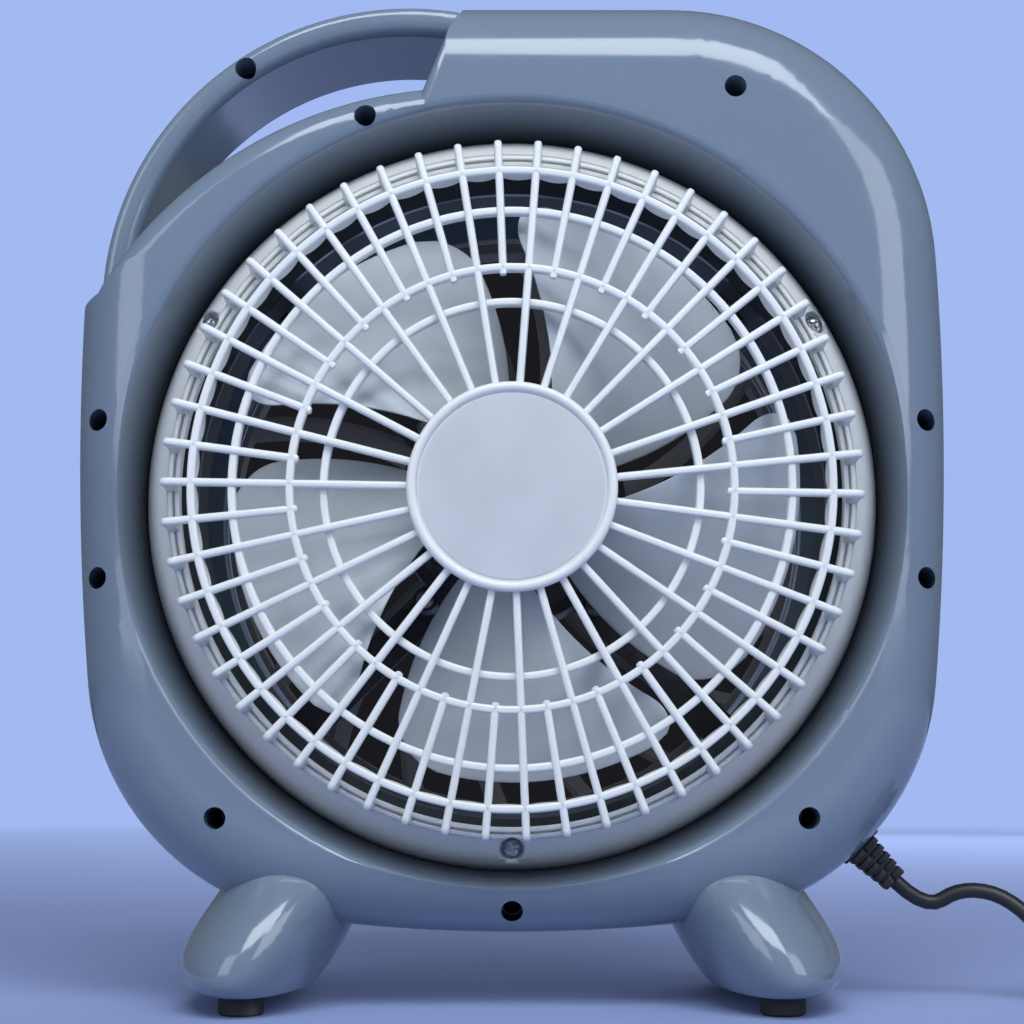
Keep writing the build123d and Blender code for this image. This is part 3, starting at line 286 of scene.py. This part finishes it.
# A piece drawn about the fan's axis, put in its place in the scene
def settle(bm, name, body, slot, sharp=35):
    bm.transform(standUp)
    bmesh.ops.remove_doubles(bm, verts=bm.verts, dist=1e-6)
    bmesh.ops.recalc_face_normals(bm, faces=bm.faces)
    shadeSmooth(bm, sharp)
    piece = meshObject(bm, name, finishes[slot])
    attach(piece, body)
    return piece


# A smoothly shaded piece with the shape of its node
def merged(node, body, slot, sharp=28):
    bm = bmesh.new()
    bm.from_mesh(frame["nodes"][node].data)
    bmesh.ops.remove_doubles(bm, verts=bm.verts, dist=2e-6)
    bmesh.ops.dissolve_degenerate(bm, edges=bm.edges, dist=1e-7)
    shadeSmooth(bm, sharp)
    piece = meshObject(bm, node + "Smooth", finishes[slot])
    even = piece.modifiers.new("evenNormals", "WEIGHTED_NORMAL")
    even.keep_sharp = True
    even.weight = 50
    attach(piece, body)
    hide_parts(node)
    return piece


# Mains cord, one line from the strain relief through the coil to the plug

cord = {
    "route": [(140.8, -136.2, 0), (152.3, -147.3, 0), (164, -138.5, 3), (180, -141, 9), (195, -158, 17),
              (208, -174, 26.5), (222, -176, 34.5)],
    "diameter": 5.6,
    "centre": (236, 6),
    "radius": 31.0,
    "floor": -179.0,
    "turns": [(1, 0), (0, 0), (-1, 0), (-1, 1), (-1, 2), (0, 2), (1, 2), (1, 1)],  # column and row of each turn
    "pointsPerTurn": 24,
    "pitch": 1.02,  # of its diameter
    "lift": 3.0,
    "changeStart": 0.76,  # part of the first turn at which the cord moves to its next place
    "changeSpan": 0.08,
    "tail": [(272.6, -170.3, -4), (270, -171, -20), (267, -171.5, -33), (267, -171.5, -39)],
    "length": 1.57,
}


# Column and row of the cord at a part of a turn; each change of place has its own stretch
def coilPlace(turn, part):
    column, row = cord["turns"][turn]
    if turn + 1 == len(cord["turns"]):
        return column, row
    nextColumn, nextRow = cord["turns"][turn + 1]
    start = cord["changeStart"] - cord["changeSpan"] * turn
    ease = min(1.0, max(0.0, (part - start) / cord["changeSpan"]))
    return column + (nextColumn - column) * ease, row + (nextRow - row) * ease


def cordPoints():
    points = [Vector(point) for point in cord["route"]]
    pitch = cord["diameter"] * cord["pitch"]
    middleX, middleZ = cord["centre"]
    steps = cord["pointsPerTurn"]
    for count in range((len(cord["turns"]) - 1) * steps + steps // 4):
        turn, part = count // steps, (count % steps) / steps
        column, row = coilPlace(turn, part)
        angle = math.radians(90 - 360 * part)
        reach = cord["radius"] + column * pitch
        points.append(Vector((middleX + reach * math.cos(angle), cord["floor"] + cord["lift"] + row * pitch,
                              middleZ + reach * math.sin(angle))))
    return points + [Vector(point) for point in cord["tail"]]


def layCord():
    curve = bpy.data.curves.new("mainsCord", "CURVE")
    curve.dimensions = "3D"
    points = cordPoints()
    spline = curve.splines.new("NURBS")
    spline.points.add(len(points) - 1)
    for point, place in zip(spline.points, points):
        point.co = (*(standUp @ place), 1)
    spline.order_u = 3
    spline.use_endpoint_u = True
    spline.resolution_u = 5
    curve.bevel_depth = cord["diameter"] / 2 * mm
    curve.bevel_resolution = 4
    curve.materials.append(finishes["cord"])
    piece = bpy.data.objects.new("mainsCord", curve)
    bpy.context.collection.objects.link(piece)
    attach(piece, "case")
    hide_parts("mains_cord", "cord_coil", "cord_tail")
    return piece


mainsCord = layCord()
plugBody = merged("plug_body", "case", "cord", sharp=30)
plugPins = merged("plug_pins", "case", "pins")
print("cord laid")


# Shapes used by several pieces

# Turn a line of (radius, z) points round the fan's axis
def around(bm, points, steps=216, closed=True):
    verts = [bm.verts.new((radius, 0, z)) for radius, z in points]
    pairs = list(zip(verts, verts[1:])) + ([(verts[-1], verts[0])] if closed else [])
    edges = [bm.edges.new(pair) for pair in pairs]
    bmesh.ops.spin(bm, geom=verts + edges, cent=(0, 0, 0), axis=(0, 0, 1), angle=math.tau, steps=steps,
                   use_merge=True, use_normal_flip=False, use_duplicate=False)


# Points along an arc, one every step of degrees
def arc(centre, radius, start, step, count):
    points = []
    for i in range(count):
        angle = math.radians(start + step * i)
        points.append((centre[0] + radius * math.cos(angle), centre[1] + radius * math.sin(angle)))
    return points


# Section of a moulded bar, rounded at the top
def softBar(width, height, rounding=0.9, steps=3):
    half = width / 2
    points = [(-half, -height), (half, -height)]
    for side, start in ((1, 0), (-1, 90)):
        points += arc((side * (half - rounding), -rounding), rounding, start, 90 / steps, steps + 1)
    return points


def roundEdges(bm, edges, offset, segments=3):
    bmesh.ops.bevel(bm, geom=edges, offset=offset, offset_type="OFFSET", segments=segments, profile=0.5,
                    affect="EDGES", material=-1, clamp_overlap=True)


def onlyVerts(geometry):
    return [item for item in geometry if isinstance(item, bmesh.types.BMVert)]


# Copies of the whole shape, turned about the fan's axis; the shape itself goes to the first angle
def repeatRound(bm, angles):
    geometry = bm.verts[:] + bm.edges[:] + bm.faces[:]
    for angle in angles[1:]:
        copy = bmesh.ops.duplicate(bm, geom=geometry)["geom"]
        turn = Matrix.Rotation(math.radians(angle), 3, "Z")
        bmesh.ops.rotate(bm, cent=(0, 0, 0), matrix=turn, verts=onlyVerts(copy))
    turn = Matrix.Rotation(math.radians(angles[0]), 3, "Z")
    bmesh.ops.rotate(bm, cent=(0, 0, 0), matrix=turn, verts=onlyVerts(geometry))


# Cut one finished piece with another, which is then deleted
def carve(piece, cutter):
    cut = piece.modifiers.new("cut", "BOOLEAN")
    cut.operation = "DIFFERENCE"
    cut.solver = "EXACT"
    cut.object = cutter
    graph = bpy.context.evaluated_depsgraph_get()
    mesh = bpy.data.meshes.new_from_object(piece.evaluated_get(graph))
    piece.modifiers.clear()
    piece.data = mesh
    bpy.data.objects.remove(cutter)


# Rear guard

guard = {
    "spokes": 54,
    "firstSpoke": 92.333,
    "face": 60.0,
    "barWidth": 2.7,
    "barHeight": 3.2,
    "barRounding": 1.05,
    "bend": 2.6,
    "ringBar": (2.8, 3.0),
    "skirt": ((-1.2, -1.5), (-1.2, -3.6), (-0.8, -4.0), (-0.3, -3.6), (0.2, -1.5)),  # from the outer ring
    "lobe": 2.6,
    "lobeLean": 0.5,
    "tip": 119.8,
    "finDepth": 17.0,
    "rings": ((108.8, 0.0), (95.1, 1.0), (75.4, 0.0), (64.1, 2.6)),
    "hub": 35.8,
    "hubRise": 2.8,
    "hubRim": 1.8,
    "hubDepth": 4.5,
    "longStart": 34.3,
    "shortStart": 73.0,
    "lip": 115.3,
    "ridges": ((0, -3), (0, 0.6), (0.3, 0.9), (1.4, 0.9), (1.7, 0.6), (1.8, -0.9), (2.5, -0.9), (2.6, 0.7),
               (2.9, 0.9), (3.8, 0.8), (4.0, 0.5), (4.1, -0.1), (4.4, -0.1)),  # outwards and up from the lip
    "slope": ((119.9, 0.4), (121.6, -2.2), (124.2, -5.4), (126.6, -9.2), (128.6, -13.6), (130.0, -18.2),
              (130.6, -20.6)),
    "back": ((130.6, -22), (128.4, -22), (128.4, -20), (127.4, -17), (124.6, -10), (121.5, -5), (118, -3)),
    "pocket": 4.3,
    "seat": 32.3,
    "seatWall": 0.9,
    "screwRadius": 123.0,
    "screwAngles": (30, 150, 270),
    "screwHead": ((0, 2.5), (1.5, 2.4), (2.6, 2.0), (3.3, 1.3), (3.6, 0.5), (3.5, 0), (1.6, 0), (1.6, -9),
                  (0, -10.5)),
    "screwHole": 1.8,
    "crossArm": (4.2, 0.9, 2.4),
    "crossTurns": (20, 110),
}


# Every second bar of the grille; the short ones end in a stub just inside the third ring
def guardBars(name, start, offset):
    bm = bmesh.new()
    face, deep, tip = guard["face"], guard["finDepth"], guard["tip"]
    under = face - guard["barHeight"]
    half = guard["barWidth"] / 2
    bend = guard["bend"]
    line = [(start, under), (start, face)] + arc((tip - bend, face - bend), bend, 90, -22.5, 5)
    line += [(tip - 0.4, face - 4.6), (tip + 0.6, face - deep - 1.5), (tip - 4.0, face - deep - 1.0),
             (tip - 4.8, under - 2.5), (tip - 7.4, under)]
    verts = [bm.verts.new((radius, -half, z)) for radius, z in line]
    grown = bmesh.ops.extrude_face_region(bm, geom=[bm.faces.new(verts)])["geom"]
    bmesh.ops.translate(bm, verts=onlyVerts(grown), vec=(0, 2 * half, 0))
    bmesh.ops.recalc_face_normals(bm, faces=bm.faces)
    rims = [edge for edge in bm.edges if abs(edge.verts[0].co.y - edge.verts[1].co.y) < 0.01]
    roundEdges(bm, rims, guard["barRounding"])
    step = 360 / guard["spokes"]
    angles = [guard["firstSpoke"] + (2 * i + offset) * step for i in range(guard["spokes"] // 2)]
    repeatRound(bm, angles)
    return settle(bm, name, "case", "guard", sharp=50)


def guardRings():
    bm = bmesh.new()
    section = softBar(*guard["ringBar"])
    for radius, drop in guard["rings"]:
        around(bm, [(radius + across, guard["face"] - drop + up) for across, up in section])
    return settle(bm, "guardRings", "case", "guard", sharp=50)


# Thin wall under the outer ring, its lower edge in lobes between the spokes
def guardSkirt():
    bm = bmesh.new()
    radius, face = guard["rings"][0][0], guard["face"]
    around(bm, [(radius + out, face + rise) for out, rise in guard["skirt"]], steps=guard["spokes"] * 10)
    turn = math.radians(guard["firstSpoke"])
    for vert in bm.verts:
        if vert.co.z < face - 3:
            wave = abs(math.sin((math.atan2(vert.co.y, vert.co.x) - turn) * guard["spokes"] / 2)) ** 0.8
            reach = math.hypot(vert.co.x, vert.co.y)
            vert.co.z -= guard["lobe"] * wave
            vert.co.x *= 1 - guard["lobeLean"] * wave / reach
            vert.co.y *= 1 - guard["lobeLean"] * wave / reach
    return settle(bm, "guardSkirt", "case", "guard", sharp=50)


def guardHub():
    bm = bmesh.new()
    top, hub = guard["face"] + guard["hubRise"], guard["hub"]
    rim, foot = guard["hubRim"], top - guard["hubDepth"]
    line = [(0, foot), (hub - 1.2, foot), (hub - 0.2, foot + 0.7)] + arc((hub - rim, top - rim), rim, 0, 30, 7)
    line += [(hub - 2 * rim, top - 1.6), (0, top - 1.6)]
    around(bm, line, steps=144, closed=False)
    return settle(bm, "guardHub", "case", "guard", sharp=40)


# Sloping ring that carries the bars, with two ridges and a fine line along its inner edge
def guardRim():
    bm = bmesh.new()
    base, lip = guard["face"] - guard["finDepth"], guard["lip"]
    line = [(lip + out, base + rise) for out, rise in guard["ridges"]]
    line += [(radius, base + height) for radius, height in guard["slope"] + guard["back"]]
    around(bm, line, steps=324)
    return settle(bm, "guardRim", "case", "guard", sharp=35)


def guardPockets(name, radius, low, high):
    bm = bmesh.new()
    for angle in guard["screwAngles"]:
        place = polar(guard["screwRadius"], angle, (low + high) / 2)
        bmesh.ops.create_cone(bm, cap_ends=True, segments=48, radius1=radius, radius2=radius, depth=high - low,
                              matrix=Matrix.Translation(place))
    return settle(bm, name, "case", "guard")


# Cutter for what stands above the rim's slope
def aboveSlope():
    bm = bmesh.new()
    base = guard["face"] - guard["finDepth"] - 0.3
    line = [(radius, base + height) for radius, height in guard["slope"]]
    around(bm, [(115, base + 0.4)] + line + [(136, base - 22), (136, base + 20), (115, base + 20)], steps=324)
    return settle(bm, "slopeCutter", "case", "guard")


# Pan heads with a cross recess, sunk in the pockets
def guardScrewHeads():
    bm = bmesh.new()
    seat, outward = guard["seat"], Vector((guard["screwRadius"], 0, 0))
    around(bm, [(radius, seat + rise) for radius, rise in guard["screwHead"]], steps=36, closed=False)
    bmesh.ops.remove_doubles(bm, verts=bm.verts, dist=1e-4)
    bmesh.ops.translate(bm, verts=bm.verts, vec=outward)
    repeatRound(bm, guard["screwAngles"])
    heads = settle(bm, "guardScrewHeads", "case", "zinc")
    for angle in guard["crossTurns"]:
        bm = bmesh.new()
        bmesh.ops.create_cube(bm, size=1)
        bmesh.ops.scale(bm, vec=guard["crossArm"], verts=bm.verts)
        turn = Matrix.Rotation(math.radians(angle), 3, "Z")
        bmesh.ops.rotate(bm, cent=(0, 0, 0), matrix=turn, verts=bm.verts)
        bmesh.ops.translate(bm, verts=bm.verts, vec=outward + Vector((0, 0, seat + 2.6)))
        repeatRound(bm, guard["screwAngles"])
        carve(heads, settle(bm, "crossCutter", "case", "zinc"))
    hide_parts("guard_screws")


longBars = guardBars("guardLongBars", guard["longStart"], 1)
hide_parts("guard_grille")
guardBars("guardShortBars", guard["shortStart"], 0)
guardRings()
guardSkirt()
guardHub()
rim = guardRim()
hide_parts("guard_rim")
carve(rim, guardPockets("rimPockets", guard["pocket"], 20, 50))
seats = guardPockets("guardScrewSeats", guard["pocket"] + guard["seatWall"], 24, 45)
carve(seats, aboveSlope())
carve(seats, guardPockets("seatPockets", guard["pocket"], guard["seat"], 50))
carve(seats, guardPockets("seatHoles", guard["screwHole"], 15, 45))
guardScrewHeads()
print("guard made")


# Fan blades

blades = {
    "count": 5,
    "first": 17.2,
    "sweep": 0.27,  # degrees for each millimetre past sweepFrom
    "sweepFrom": 72,
    "edgeGap": 7.4,
    "tip": 100.0,
    "corner": 13.0,
    "root": 21.0,
    "span": 62.0,
    "rear": 53.0,
    "front": 23.0,
    "thickness": 1.8,
    "rounding": 0.55,
    "grid": (26, 40),
    "spread": 0.72,
    "hub": 24.0,
    "hubRear": 45.0,
    "hubFront": 17.0,
    "hubRounding": 4.0,
    "hubWall": 2.5,
    "bore": 4.0,
    "sleeve": 8.0,
    "sleeveFront": 20.0,
}


# Angle in degrees from the mid-line of the gap to the blade's edge
def bladeEdge(radius):
    gap, tip, corner = blades["edgeGap"], blades["tip"], blades["corner"]
    reach = tip - corner
    middle = math.asin((gap + corner) / reach)
    side = reach * math.cos(middle)
    if math.hypot(side, gap) >= radius:
        return math.degrees(math.asin(gap / radius))
    cosine = (radius ** 2 + reach ** 2 - corner ** 2) / (2 * radius * reach)
    return math.degrees(middle - math.acos(min(1.0, cosine)))


def fanBlades():
    bm = bmesh.new()
    across, along = blades["grid"]
    bmesh.ops.create_grid(bm, x_segments=across, y_segments=along, size=0.5)
    sector = 360 / blades["count"]
    for vert in bm.verts:
        reach = (vert.co.y + 0.5) ** blades["spread"]
        radius = blades["root"] + (blades["tip"] - blades["root"]) * reach
        edge = bladeEdge(radius)
        angle = edge + (sector - 2 * edge) * (vert.co.x + 0.5)
        rise = (angle - (sector - blades["span"]) / 2) / blades["span"]
        height = blades["front"] + (blades["rear"] - blades["front"]) * rise
        vert.co = polar(radius, angle + blades["sweep"] * (radius - blades["sweepFrom"]), height)
    bmesh.ops.solidify(bm, geom=bm.faces[:], thickness=blades["thickness"])
    bmesh.ops.recalc_face_normals(bm, faces=bm.faces)
    rims = [edge for edge in bm.edges if len(edge.link_faces) == 2 and edge.calc_face_angle(0) > 1.0]
    roundEdges(bm, rims, blades["rounding"], segments=2)
    repeatRound(bm, [blades["first"] + sector * i for i in range(blades["count"])])
    hub, rear, front = blades["hub"], blades["hubRear"], blades["hubFront"]
    corner, wall = blades["hubRounding"], blades["hubWall"]
    bore, sleeve, sleeveFront = blades["bore"], blades["sleeve"], blades["sleeveFront"]
    line = [(bore, rear), (hub - corner, rear)] + arc((hub - corner, rear - corner), corner, 75, -15, 5)
    line += [(hub, rear - corner), (hub, front), (hub - wall, front), (hub - wall, rear - 2 * wall),
             (hub - 2 * wall, rear - wall), (sleeve, rear - wall), (sleeve, sleeveFront), (bore, sleeveFront)]
    around(bm, line, steps=96)
    piece = settle(bm, "fanBlades", "rotor", "blade", sharp=50)
    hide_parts("fan_blade")


fanBlades()
print("blades made")


# Strain relief with its ribbed boot

relief = {
    "place": (125.47, -121.42),
    "angle": -44.0,
    "flange": (17.0, 12.0, 3.7),
    "boot": (13.0, 9.2, 8.0, 6.4, 17.6),  # width at its start and end, height at both, length
    "ribs": 5,
    "neck": (11.0, 8.0, -3.1, 0.4, 0.2),
    "clip": (14.0, 11.0, -5.1, -3.1, 0.4),
    "core": 0.78,
    "webs": (0.3, 0.5, 0.7),  # parts of the boot's length
    "webThickness": 2.0,
    "ribGap": 0.75,
    "ribWidth": 0.46,  # of the boot's width at that place
    "ribPlace": 0.265,
}


def ribbedBoot():
    bm = bmesh.new()
    width, height, thick = relief["flange"]
    bootWide, tipWide, bootHigh, tipHigh, length = relief["boot"]

    def block(x, y, low, high, rounding, topX=None, topY=None):
        made = bmesh.ops.create_cube(bm, size=1)["verts"]
        for vert in made:
            top = vert.co.z > 0
            vert.co.x *= topX if top and topX else x
            vert.co.y *= topY if top and topY else y
            vert.co.z = high if top else low
        roundEdges(bm, list({edge for vert in made for edge in vert.link_edges}), rounding)

    block(width, height, 0.0, thick, 0.7)
    block(*relief["neck"])
    block(*relief["clip"])
    core = relief["core"]
    block(bootWide * core, bootHigh * core, thick - 0.5, thick + length - 0.2, 0.6, tipWide * core, tipHigh * core)
    pitch = length / relief["ribs"]
    for i in range(relief["ribs"]):
        part = (i + 0.5) / relief["ribs"]
        wide = bootWide + (tipWide - bootWide) * part
        high = bootHigh + (tipHigh - bootHigh) * part
        low = thick + pitch * i
        gap = 0.0 if i == relief["ribs"] - 1 else relief["ribGap"]  # the last rib ends with the boot
        for side in (-1, 1):
            made = len(bm.verts)
            block(wide * relief["ribWidth"], high, low + 0.25, low + pitch - gap, 0.5)
            bm.verts.ensure_lookup_table()
            bmesh.ops.translate(bm, verts=bm.verts[made:], vec=(side * wide * relief["ribPlace"], 0, 0))
    for part in relief["webs"]:
        wide = bootWide + (tipWide - bootWide) * part
        high = bootHigh + (tipHigh - bootHigh) * part
        middle, half = thick + length * part, relief["webThickness"] / 2
        block(wide * 0.7, high * 0.86, middle - half, middle + half, 0.4)
    angle = math.radians(relief["angle"])
    out = Vector((math.cos(angle), math.sin(angle), 0))
    side = Vector((-math.sin(angle), math.cos(angle), 0))
    turn = Matrix((side, Vector((0, 0, 1)), out)).transposed().to_4x4()
    turn.translation = Vector((*relief["place"], 0))
    bm.transform(turn)
    piece = settle(bm, "strainReliefBoot", "case", "cord", sharp=40)
    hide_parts("strain_relief")


ribbedBoot()
print("strain relief made")


# Pieces that keep their shape: body, slot and the angle from which an edge is sharp

kept = {
    "rear_shell": ("case", "case", 24), "front_shell": ("case", "case", 24),
    "intake_funnel": ("case", "case", 24), "intake_duct": ("case", "case", 24),
    "outlet_collar": ("case", "case", 24), "handle_rear": ("case", "case", 24),
    "handle_front": ("case", "case", 24), "foot_left": ("case", "case", 24), "foot_right": ("case", "case", 24),
    "control_panel": ("case", "panel", 30), "blade_nut": ("rotor", "guard", 30),
    "foot_pads": ("case", "rubber", 30), "motor_cover_rear": ("case", "dark_steel", 24),
    "motor_cover_front": ("case", "dark_steel", 24), "motor_bracket": ("case", "dark_steel", 30),
    "louvre_motor": ("case", "dark_steel", 24), "louvre_frame": ("louvre", "guard", 30),
    "louvre_fins": ("louvre", "guard", 30), "louvre_cap": ("louvre", "panel", 24),
    "speed_knob": ("speed_control", "knob", 30), "timer_knob": ("timer_control", "knob", 30),
    "louvre_button": ("button", "knob", 30), "stator_windings": ("case", "winding", 30),
    "capacitor": ("case", "dark_plastic", 30),
    "label_disc": ("case", "label", 30),
}
# Nodes whose finish carries painted shade
paintedShadeFinishes = {"intake_duct": "duct", "intake_funnel": "funnel"}
for node, (body, slot, sharp) in kept.items():
    piece = merged(node, body, slot, sharp)
    if node in paintedShadeFinishes:
        piece.data.materials[0] = finishes[paintedShadeFinishes[node]]
slots = {part["node"]: part["material_slot"] for part in frame["record"]["subparts"]}
for node, piece in frame["nodes"].items():
    if node in kept or node not in slots:
        continue
    piece.data.materials.clear()
    piece.data.materials.append(finishes[slots[node]])
print("other pieces finished")


# Stage and light

stage = {
    "floor": (0.30, 0.37, 0.64),
    "floorRadius": 8,
    "fade": (0.5, 2.2),  # distance over which the floor fades into the paper behind
    "world": (0.70, 0.82, 1.0),
    "worldStrength": 0.15,
    "cardRadius": 112.0,
}
lamps = {  # place, target, size, watts, colour
    "windowLamp": ((0.1, -1.20, 1.55), (0, 0, 0.24), (1.4, 0.8), 25, (0.86, 0.93, 1.0)),
    "leftLamp": ((-1.20, -1.35, 0.75), (0, 0, 0.22), (1.1, 1.2), 9, (0.88, 0.94, 1.0)),
    "rightLamp": ((1.20, -1.30, 0.80), (0, 0, 0.22), (1.1, 1.2), 12, (0.88, 0.94, 1.0)),
    "frontLamp": ((0.5, 1.6, 0.6), (0, 0, 0.18), (1.4, 1.0), 15, (0.94, 0.97, 1.0)),
}


def pale(name, color):
    material, nodes, links, shader = newMaterial(name)
    shader.inputs["Base Color"].default_value = (*color, 1)
    shader.inputs["Roughness"].default_value = 0.9
    shader.inputs["Specular IOR Level"].default_value = 0.1
    place = nodes.new("ShaderNodeTexCoord")
    fade = nodes.new("ShaderNodeVectorMath")
    fade.operation = "LENGTH"
    span = spanNode(nodes, stage["fade"])
    rays = nodes.new("ShaderNodeLightPath")
    glow = nodes.new("ShaderNodeEmission")
    glow.inputs["Color"].default_value = (*view["paper"], 1)
    blend = nodes.new("ShaderNodeMixShader")
    links.new(place.outputs["Object"], fade.inputs[0])
    links.new(fade.outputs["Value"], span.inputs["Value"])
    seen = mathNode(nodes, links, "MULTIPLY", span.outputs["Result"], rays.outputs["Is Camera Ray"])
    links.new(seen.outputs[0], blend.inputs["Fac"])
    links.new(shader.outputs["BSDF"], blend.inputs[1])
    links.new(glow.outputs["Emission"], blend.inputs[2])
    links.new(blend.outputs["Shader"], nodes["Material Output"].inputs["Surface"])
    return material


def setStage():
    bm = bmesh.new()
    bmesh.ops.create_circle(bm, cap_ends=True, segments=96, radius=stage["floorRadius"])
    meshObject(bm, "floor", pale("paleFloor", stage["floor"]))
    world = bpy.data.worlds.new("studio")
    bpy.context.scene.world = world
    world.use_nodes = True
    nodes, links = world.node_tree.nodes, world.node_tree.links
    soft = nodes["Background"]
    soft.inputs["Color"].default_value = (*stage["world"], 1)
    soft.inputs["Strength"].default_value = stage["worldStrength"]
    seen = nodes.new("ShaderNodeBackground")
    seen.inputs["Color"].default_value = (*view["paper"], 1)
    rays = nodes.new("ShaderNodeLightPath")
    blend = nodes.new("ShaderNodeMixShader")
    links.new(rays.outputs["Is Camera Ray"], blend.inputs["Fac"])
    links.new(soft.outputs["Background"], blend.inputs[1])
    links.new(seen.outputs["Background"], blend.inputs[2])
    links.new(blend.outputs["Shader"], nodes["World Output"].inputs["Surface"])


def addLamp(name, place, target, size, power, color):
    data = bpy.data.lights.new(name, "AREA")
    data.shape = "RECTANGLE"
    data.size, data.size_y = size
    data.energy = power
    data.color = color
    lamp = bpy.data.objects.new(name, data)
    lamp.location = place
    lamp.rotation_euler = (Vector(target) - Vector(place)).to_track_quat("-Z", "Y").to_euler()
    bpy.context.collection.objects.link(lamp)
    return lamp


# Painted shade: dark card inside the outlet, standing in for the shade inside the fan, that only the camera meets,
# and only from the rear
def shadeCard(name, z, seen, color):
    material, nodes, links, shader = newMaterial(name)
    nodes.remove(shader)
    dark = nodes.new("ShaderNodeEmission")
    dark.inputs["Color"].default_value = (*color, 1)
    clear = nodes.new("ShaderNodeBsdfTransparent")
    side = nodes.new("ShaderNodeNewGeometry")
    share = nodes.new("ShaderNodeMapRange")
    share.inputs["To Min"].default_value = seen
    share.inputs["To Max"].default_value = 1.0
    blend = nodes.new("ShaderNodeMixShader")
    links.new(side.outputs["Backfacing"], share.inputs["Value"])
    links.new(share.outputs["Result"], blend.inputs["Fac"])
    links.new(dark.outputs["Emission"], blend.inputs[1])
    links.new(clear.outputs["BSDF"], blend.inputs[2])
    links.new(blend.outputs["Shader"], nodes["Material Output"].inputs["Surface"])
    bm = bmesh.new()
    bmesh.ops.create_circle(bm, cap_ends=True, segments=96, radius=stage["cardRadius"])
    bmesh.ops.translate(bm, verts=bm.verts, vec=(0, 0, z))
    bm.transform(standUp)
    bmesh.ops.recalc_face_normals(bm, faces=bm.faces)
    turned = [face for face in bm.faces if face.normal.y > 0]
    bmesh.ops.reverse_faces(bm, faces=turned)
    card = meshObject(bm, name, material)
    card.visible_diffuse = False
    card.visible_glossy = False
    card.visible_transmission = False
    card.visible_shadow = False
    card.visible_volume_scatter = False


setStage()
# Painted shade: two dark cards stand in for the shade inside the fan
shadeCard("thinShadeCard", -36.5, 0.18, (0.010, 0.010, 0.013))
shadeCard("deepShadeCard", -51.0, 0.0, (0.012, 0.011, 0.012))
placed = {name: addLamp(name, *lamp) for name, lamp in lamps.items()}
placed["frontLamp"].visible_glossy = False  # or every edge seen from the rear would show a white line
bpy.context.scene.view_settings.view_transform = "Standard"

print("stage set")
